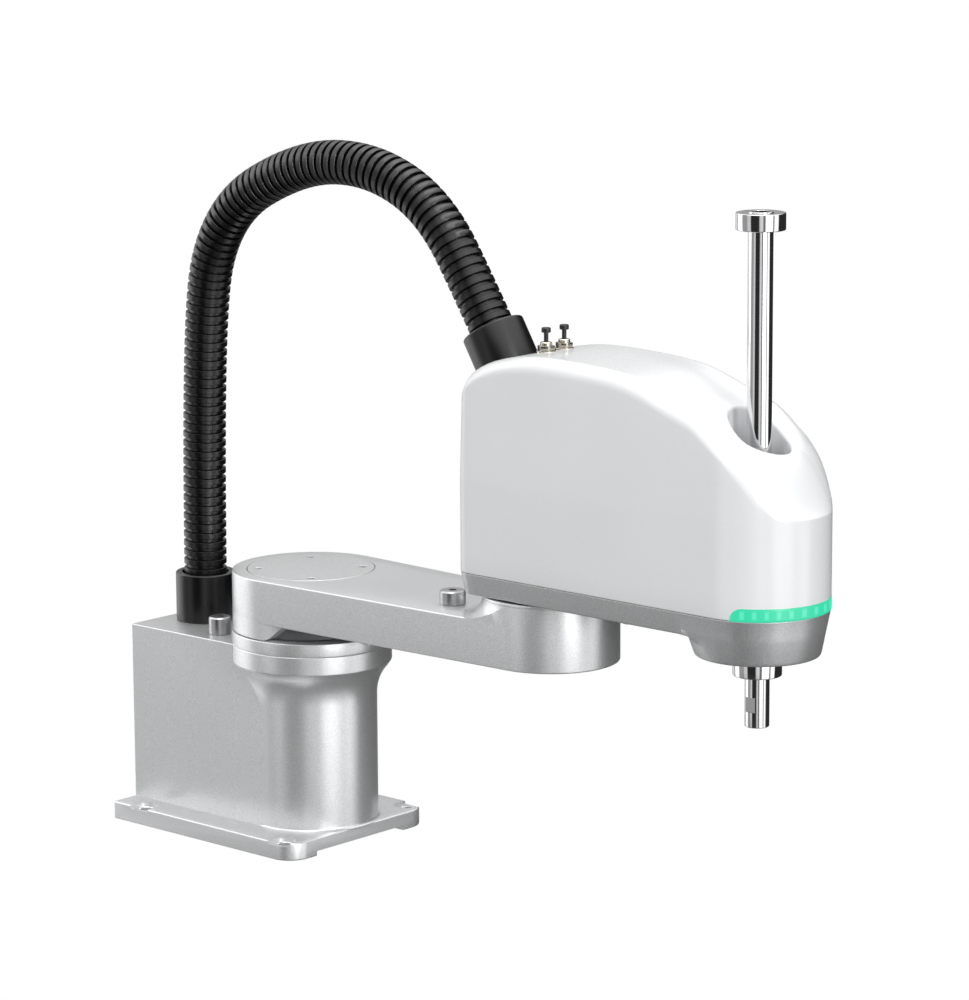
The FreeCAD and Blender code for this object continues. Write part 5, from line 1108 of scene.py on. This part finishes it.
# Each column of points runs up the wall, over the top, down the well and back
# under the skin, so that the rows of the columns are closed rings.
plan = bullet(0.0)
columns = []
for (x, y), out in zip(plan, [Vector(n).normalized() for n in outline_normals(plan)]):
    way = Vector((x - tool_x, y)).normalized()
    low, wide, power = roll_of(x, y)
    lip = rolled_edge((tool_x + way.x * well_r, way.y * well_r), (-way.x, -way.y), lip_r, 6)
    line = [(x - out.x * inset, y - out.y * inset, z) for z, inset in (
        (shell_low, 1.2), (222.4, 0.5), (222.7, 0.12), (223.3, 0.0), (235.0, 0.0), (250.0, 0.0),
        (268.0, 0.0), (280.0, 0.0), (crease_z - 0.4, 0.0))]
    for share in (0.0, 0.02, 0.2, 0.4, 0.6, 0.8, 1.0):
        z = crease_z + (low - crease_z) * share
        line.append((x - out.x * lean(z), y - out.y * lean(z), z))
    base_x, base_y = x - out.x * lean(low), y - out.y * lean(low)
    for step in range(1, 15):
        depth = wide * (1 - math.cos(math.pi / 2 * step / 14))
        spot_x = base_x - out.x * depth
        line.append((spot_x, base_y - out.y * depth,
                     skin_height(spot_x, depth, low, wide, power)))
    start, end = Vector(line[-1]), lip[-1]
    for step in range(1, 33):
        spot = start.lerp(end, step / 33)
        line.append((spot.x, spot.y, crest(spot.x)))
    line += [tuple(p) for p in reversed(lip)]
    foot_z = well_floor + 1.6
    line += [(lip[0].x, lip[0].y, foot_z + (lip[0].z - foot_z) * share)
             for share in (0.8, 0.6, 0.4, 0.2, 0.0)]
    line += [(tool_x + way.x * r, way.y * r, z) for r, z in (
        (well_r - 0.5, well_floor + 0.5), (well_r - 1.6, well_floor), (15.0, well_floor),
        (well_hole, well_floor), (well_hole, well_floor - 3.0), (22.0, well_floor - 3.0))]
    inner = Vector((tool_x + way.x * 22.0, way.y * 22.0))
    wall = Vector((x - out.x * wall_thick, y - out.y * wall_thick))
    for share in (0.0, 0.25, 0.5, 0.75, 0.9, 1.0):
        spot = inner.lerp(wall, share)
        depth = (x - spot.x) * out.x + (y - spot.y) * out.y
        line.append((spot.x, spot.y,
                     skin_height(spot.x, depth - 1.0, low, wide, power) - roof_thick))
    line += [(wall.x, wall.y, 278.0), (wall.x, wall.y, shell_low)]
    columns.append(line)
shell_rings = [list(ring) for ring in zip(*columns)]
shell_rings.append(shell_rings[0])
cover = ring_skin("cover_body", shell_rings, caps=False, sharp=50.0)
dress(cover, gloss_white, "arm_2", "arm2_cover", slot="white_plastic")


# Cover screws: four zinc-plated pan heads in the back wall, which hold the cover
# on the tray and on the bridge inside.
cover_screw_side, cover_screw_low, cover_screw_high = 28.75, 238.3, 312.0
cover_screws = onto_wall(lathe("cover_screw_heads", soften(
    [(0, 0.7), (1.5, 0.7), (1.5, 1.8), (3.0, 1.8), (3.0, -0.4), (0, -0.4)],
    [0, 0, 0, 0.5, 0, 0], 3), steps=40),
    elbow_x - arm2_back + 0.3, -cover_screw_side, cover_screw_low)
repeat(cover_screws, 2, (0.0, 2 * cover_screw_side, 0.0), zinc)
repeat(cover_screws, 2, (0.0, 0.0, cover_screw_high - cover_screw_low), zinc)
dress(cover_screws, zinc, "arm_2", "cover_screws", slot="zinc_screw")


# Light strip: frosted band of clear plastic with rounded ends, clipped round the
# foot of the nose. Its lamps show as brighter spots behind the lens.
lens_low, lens_tall, lens_end, lens_round = 222.3, 8.4, 74.6, 10.6
lamp_angles = [-74.8, -64.0, -54.4, -44.8, -35.3, -25.0, -13.2, 0.0,
               13.2, 25.0, 35.3, 44.8, 54.4, 64.0, 74.8]
strip_rings = []
for step in range(241):
    angle = lens_end * (step / 120 - 1)
    past = min(1.0, max(0.0, abs(angle) - (lens_end - lens_round)) / lens_round)
    tall = max(0.05, lens_tall * math.sqrt(1 - past ** 2))
    along = math.radians(angle)
    strip_rings.append([
        (tool_x + radius * math.cos(along), radius * math.sin(along), lens_low + tall * share)
        for radius, share in (
            (46.75, 0.0), (46.90, 0.03), (46.92, 0.2), (46.92, 0.5), (46.92, 0.8),
            (46.90, 0.97), (46.75, 1.0), (45.4, 1.0), (45.4, 0.0))])
strip = ring_skin("light_strip_lens", strip_rings, sharp=45.0)
# The lens's map counts lamps along it, and goes from 0 to 1 over its height.
layer = strip.data.uv_layers.new(name="UVMap")
for loop in strip.data.loops:
    point = strip.data.vertices[loop.vertex_index].co
    angle = math.degrees(math.atan2(point.y, point.x - 0.001 * tool_x))
    layer.data[loop.index].uv = (
        float(np.interp(angle, lamp_angles, range(len(lamp_angles)))),
        (point.z * 1000 - lens_low) / lens_tall)

# Frosted polycarbonate lit from behind: an even green glow that hides its own
# surface, with a paler, blurred spot over each lamp. The frost's grain is a
# fortieth of the way between two lamps, which is 0.2 mm.
lens_glow, tree, shader, place = new_material("lit_frosted_lens")
parts = add_node(tree, "ShaderNodeSeparateXYZ", {}, {"Vector": place["UV"]}).outputs
near = add_node(tree, "ShaderNodeMath", {"operation": "PINGPONG", 1: 0.5}, {0: parts["X"]})
narrow = add_node(tree, "ShaderNodeMath", {"operation": "MULTIPLY", 1: 1.7},
                  {0: near.outputs[0]})
middle = add_node(tree, "ShaderNodeMath", {"operation": "SUBTRACT", 1: 0.5}, {0: parts["Y"]})
height = add_node(tree, "ShaderNodeMath", {"operation": "ABSOLUTE"}, {0: middle.outputs[0]})
far = add_node(tree, "ShaderNodeMath", {"operation": "MAXIMUM"},
               {0: narrow.outputs[0], 1: height.outputs[0]})
spot = add_node(tree, "ShaderNodeMapRange", {"interpolation_type": "SMOOTHSTEP",
                                             "From Min": 0.44, "From Max": 0.14},
                {"Value": far.outputs[0]})
frost = add_node(tree, "ShaderNodeTexNoise", {"Scale": 40.0, "Detail": 2.0},
                 {"Vector": place["UV"]})
frosted = add_node(tree, "ShaderNodeMath", {"operation": "MULTIPLY"},
                   {0: spot.outputs[0], 1: frost.outputs["Fac"]})
paler = add_node(tree, "ShaderNodeMapRange", {"From Max": 0.62}, {"Value": frosted.outputs[0]})
colour = add_node(tree, "ShaderNodeMixRGB",
                  {"Color1": linear("#3be0ae"), "Color2": linear("#6bf4cf")},
                  {"Fac": paler.outputs["Result"]})
tree.links.new(colour.outputs["Color"], shader.inputs["Emission Color"])
shader.inputs["Emission Strength"].default_value = 0.92
shader.inputs["Base Color"].default_value = linear("#0b3a2c")
shader.inputs["Roughness"].default_value = 0.35
dress(strip, lens_glow, "arm_2", "light_strip", slot="light_lens")


# Upper collar: the same black moulded socket as on the base, set into the
# cover's back and tilted forwards with the hose.
upper_collar_x, upper_collar_z, upper_collar_tilt = 0.2116, 0.3790, -31.4
upper_collar = lathe("upper_collar_body", [(r, z - collar_tall) for r, z in collar_shape],
                     0.0, 0.0, 112)
upper_collar.data.transform(
    Matrix.Translation((upper_collar_x, 0.0, upper_collar_z))
    @ Matrix.Rotation(math.radians(upper_collar_tilt), 4, "Y"))
dress(upper_collar, collar_black, "arm_2", "arm2_conduit_collar", slot="black_plastic")


# Air fittings: two nickelled hexagon bodies screwed through the crest, each with
# a washer, and closed by a black plastic plug with a round knob.
fitting_x, fitting_side = elbow_x + 4.0, 9.0
fitting = join("air_fitting_bodies", [
    lathe("washer", soften([(0, 369.4), (6.6, 369.4), (6.6, 370.9), (0, 370.9)],
                           [0, 0, 0.4, 0], 3), fitting_x, -fitting_side, 56),
    hexagon("nut", fitting_x, -fitting_side, 5.9, 370.6, 374.4),
    lathe("neck", soften([(0, 374.0), (3.9, 374.0), (3.9, 376.2), (3.2, 376.8), (0, 376.8)],
                         [0, 0, 0.3, 0.2, 0], 3), fitting_x, -fitting_side, 48)])
repeat(fitting, 2, (0.0, 2 * fitting_side, 0.0), nickel)
dress(fitting, nickel, "arm_2", "air_fittings", slot="nickel")

# Plain moulded plastic: a dull black that is lighter than the hose.
knob_black = moulded("black_knob_plastic", "#131314", 0.45, 1.11, 0.1)
plug = join("air_fitting_knobs", [
    lathe("stem", [(0, 374.6), (1.5, 374.6), (1.5, 384.0), (0, 384.0)],
          fitting_x, -fitting_side, 32),
    lathe("knob", soften([(0, 382.9), (3.1, 382.9), (3.1, 386.2), (0, 386.2)],
                         [0, 0.5, 0.7, 0], 4), fitting_x, -fitting_side, 48)])
repeat(plug, 2, (0.0, 2 * fitting_side, 0.0), knob_black)
dress(plug, knob_black, "arm_2", "air_fitting_plugs", slot="black_plastic")


# Bumper: thick rubber ring in the bottom of the well. The upper stop collar
# lands on it when the spindle is all the way down.
bumper_r, bumper_bore, bumper_tall = 19.4, 8.36, 12.0
bumper = lathe("stop_bumper", soften(
    [(bumper_bore, well_floor), (bumper_r, well_floor), (bumper_r, well_floor + bumper_tall),
     (bumper_bore, well_floor + bumper_tall)], [0, 0, 1.0, 0.8], 4, True), tool_x, 0.0, 96)
dress(bumper, rubber, "arm_2", "z_stop_bumper", slot="black_rubber")


# Spindle: hollow ball-screw spline shaft of hardened steel, chromed and ground,
# with a flat near its tool end. It hangs in the two nuts inside the arm.
spindle_r, spindle_bore, spindle_low, spindle_top = 8.0, 5.5, 144.2, 474.8
flat_at, flat_low, flat_top = 7.0, 154.3, 164.1
# Hard chrome, ground to a mirror: black and white stripes down its length. Inside
# the bore, a near-black sleeve is painted shade.
chrome = turned_metal("ground_hard_chrome", "#dcdcde", 0.07, 0.06)
bore_painted_shade = moulded("bore_painted_shadow", "#0d0d0e", 0.60, 1.11, 0.2)
shaft = lathe("spindle_body", soften(
    [(spindle_bore, spindle_low + 0.3), (spindle_bore + 0.3, spindle_low),
     (spindle_r - 0.4, spindle_low), (spindle_r, spindle_low + 0.4),
     (spindle_r, spindle_top - 0.25), (spindle_r - 0.25, spindle_top),
     (spindle_bore + 0.12, spindle_top), (spindle_bore, spindle_top - 0.12)], 0.06, 2, True),
    tool_x, 0.0, 128)
flat = column_of("flat_tool", [(tool_x - 9, -9.0), (tool_x + 9, -9.0), (tool_x + 9, -flat_at),
                               (tool_x - 9, -flat_at)], flat_low, flat_top, 0.0, 1)
combine(shaft, "DIFFERENCE", flat, sharp=20.0)
dress(shaft, chrome, "spindle", "spindle_shaft", slot="ground_chrome")
# A near-black sleeve in the bore: painted shade inside the hole.
shade_sleeve = lathe("spindle_bore", [
    (spindle_bore + 0.1, spindle_low + 0.7), (spindle_bore + 0.1, spindle_top - 0.2),
    (spindle_bore - 0.05, spindle_top - 0.2), (spindle_bore - 0.05, spindle_low + 0.7)],
    tool_x, 0.0, 64)
dress(shade_sleeve, bore_painted_shade, "spindle", slot="ground_chrome")


# Stop collars: two turned and chromed clamp rings on the spindle, slit on one
# side, which end its travel at the top and at the bottom.
clamp_r, clamp_bore, clamp_tall, slit_half = 15.85, 8.05, 11.0, 0.6
for name, node, low in (("upper_stop", "upper_stop_collar", 463.3),
                        ("lower_stop", "lower_stop_collar", 177.8)):
    clamp = lathe(name, soften(
        [(clamp_bore, low), (clamp_r, low), (clamp_r, low + clamp_tall),
         (clamp_bore, low + clamp_tall)], [0, 0.7, 0.5, 0.15], 4, True), tool_x, 0.0, 128)
    slit = column_of("slit_tool", [
        (tool_x - 18, -slit_half), (tool_x - 4, -slit_half), (tool_x - 4, slit_half),
        (tool_x - 18, slit_half)], low - 1, low + clamp_tall + 1, 0.0, 1)
    combine(clamp, "DIFFERENCE", slit)
    dress(clamp, chrome, "spindle", node, slot="ground_chrome")


# Inner pieces: motors, reducers, nuts, pulleys, belts and brackets behind the
# covers. They keep their CAD form and only get their finishes.

# Solder mask on a glass-fibre board: dark green with a slight shine.
board = moulded("green_board", "#0f4f33", 0.35, 2.0, 0.1)
inner_finishes = {
    "j1_motor": motor_black, "j1_reducer_ring": steel, "j1_reducer_output": steel,
    "j2_reducer_ring": steel, "j2_reducer_output": steel, "j2_motor": motor_black,
    "light_board": board, "spindle_lower_bearing": steel, "spindle_bridge": alloy,
    "turn_belt": rubber, "turn_motor": motor_black, "turn_motor_bracket": alloy,
    "lift_belt": rubber, "lift_motor": motor_black, "lift_motor_bracket": alloy,
    "spline_nut": steel, "turn_pulley": alloy, "ball_nut": steel, "lift_pulley": alloy,
    "turn_motor_shaft": steel, "turn_motor_pulley": alloy, "lift_motor_shaft": steel,
    "lift_motor_pulley": alloy}
for node, finish in inner_finishes.items():
    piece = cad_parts[node]
    piece.data.materials.clear()
    piece.data.materials.append(finish)
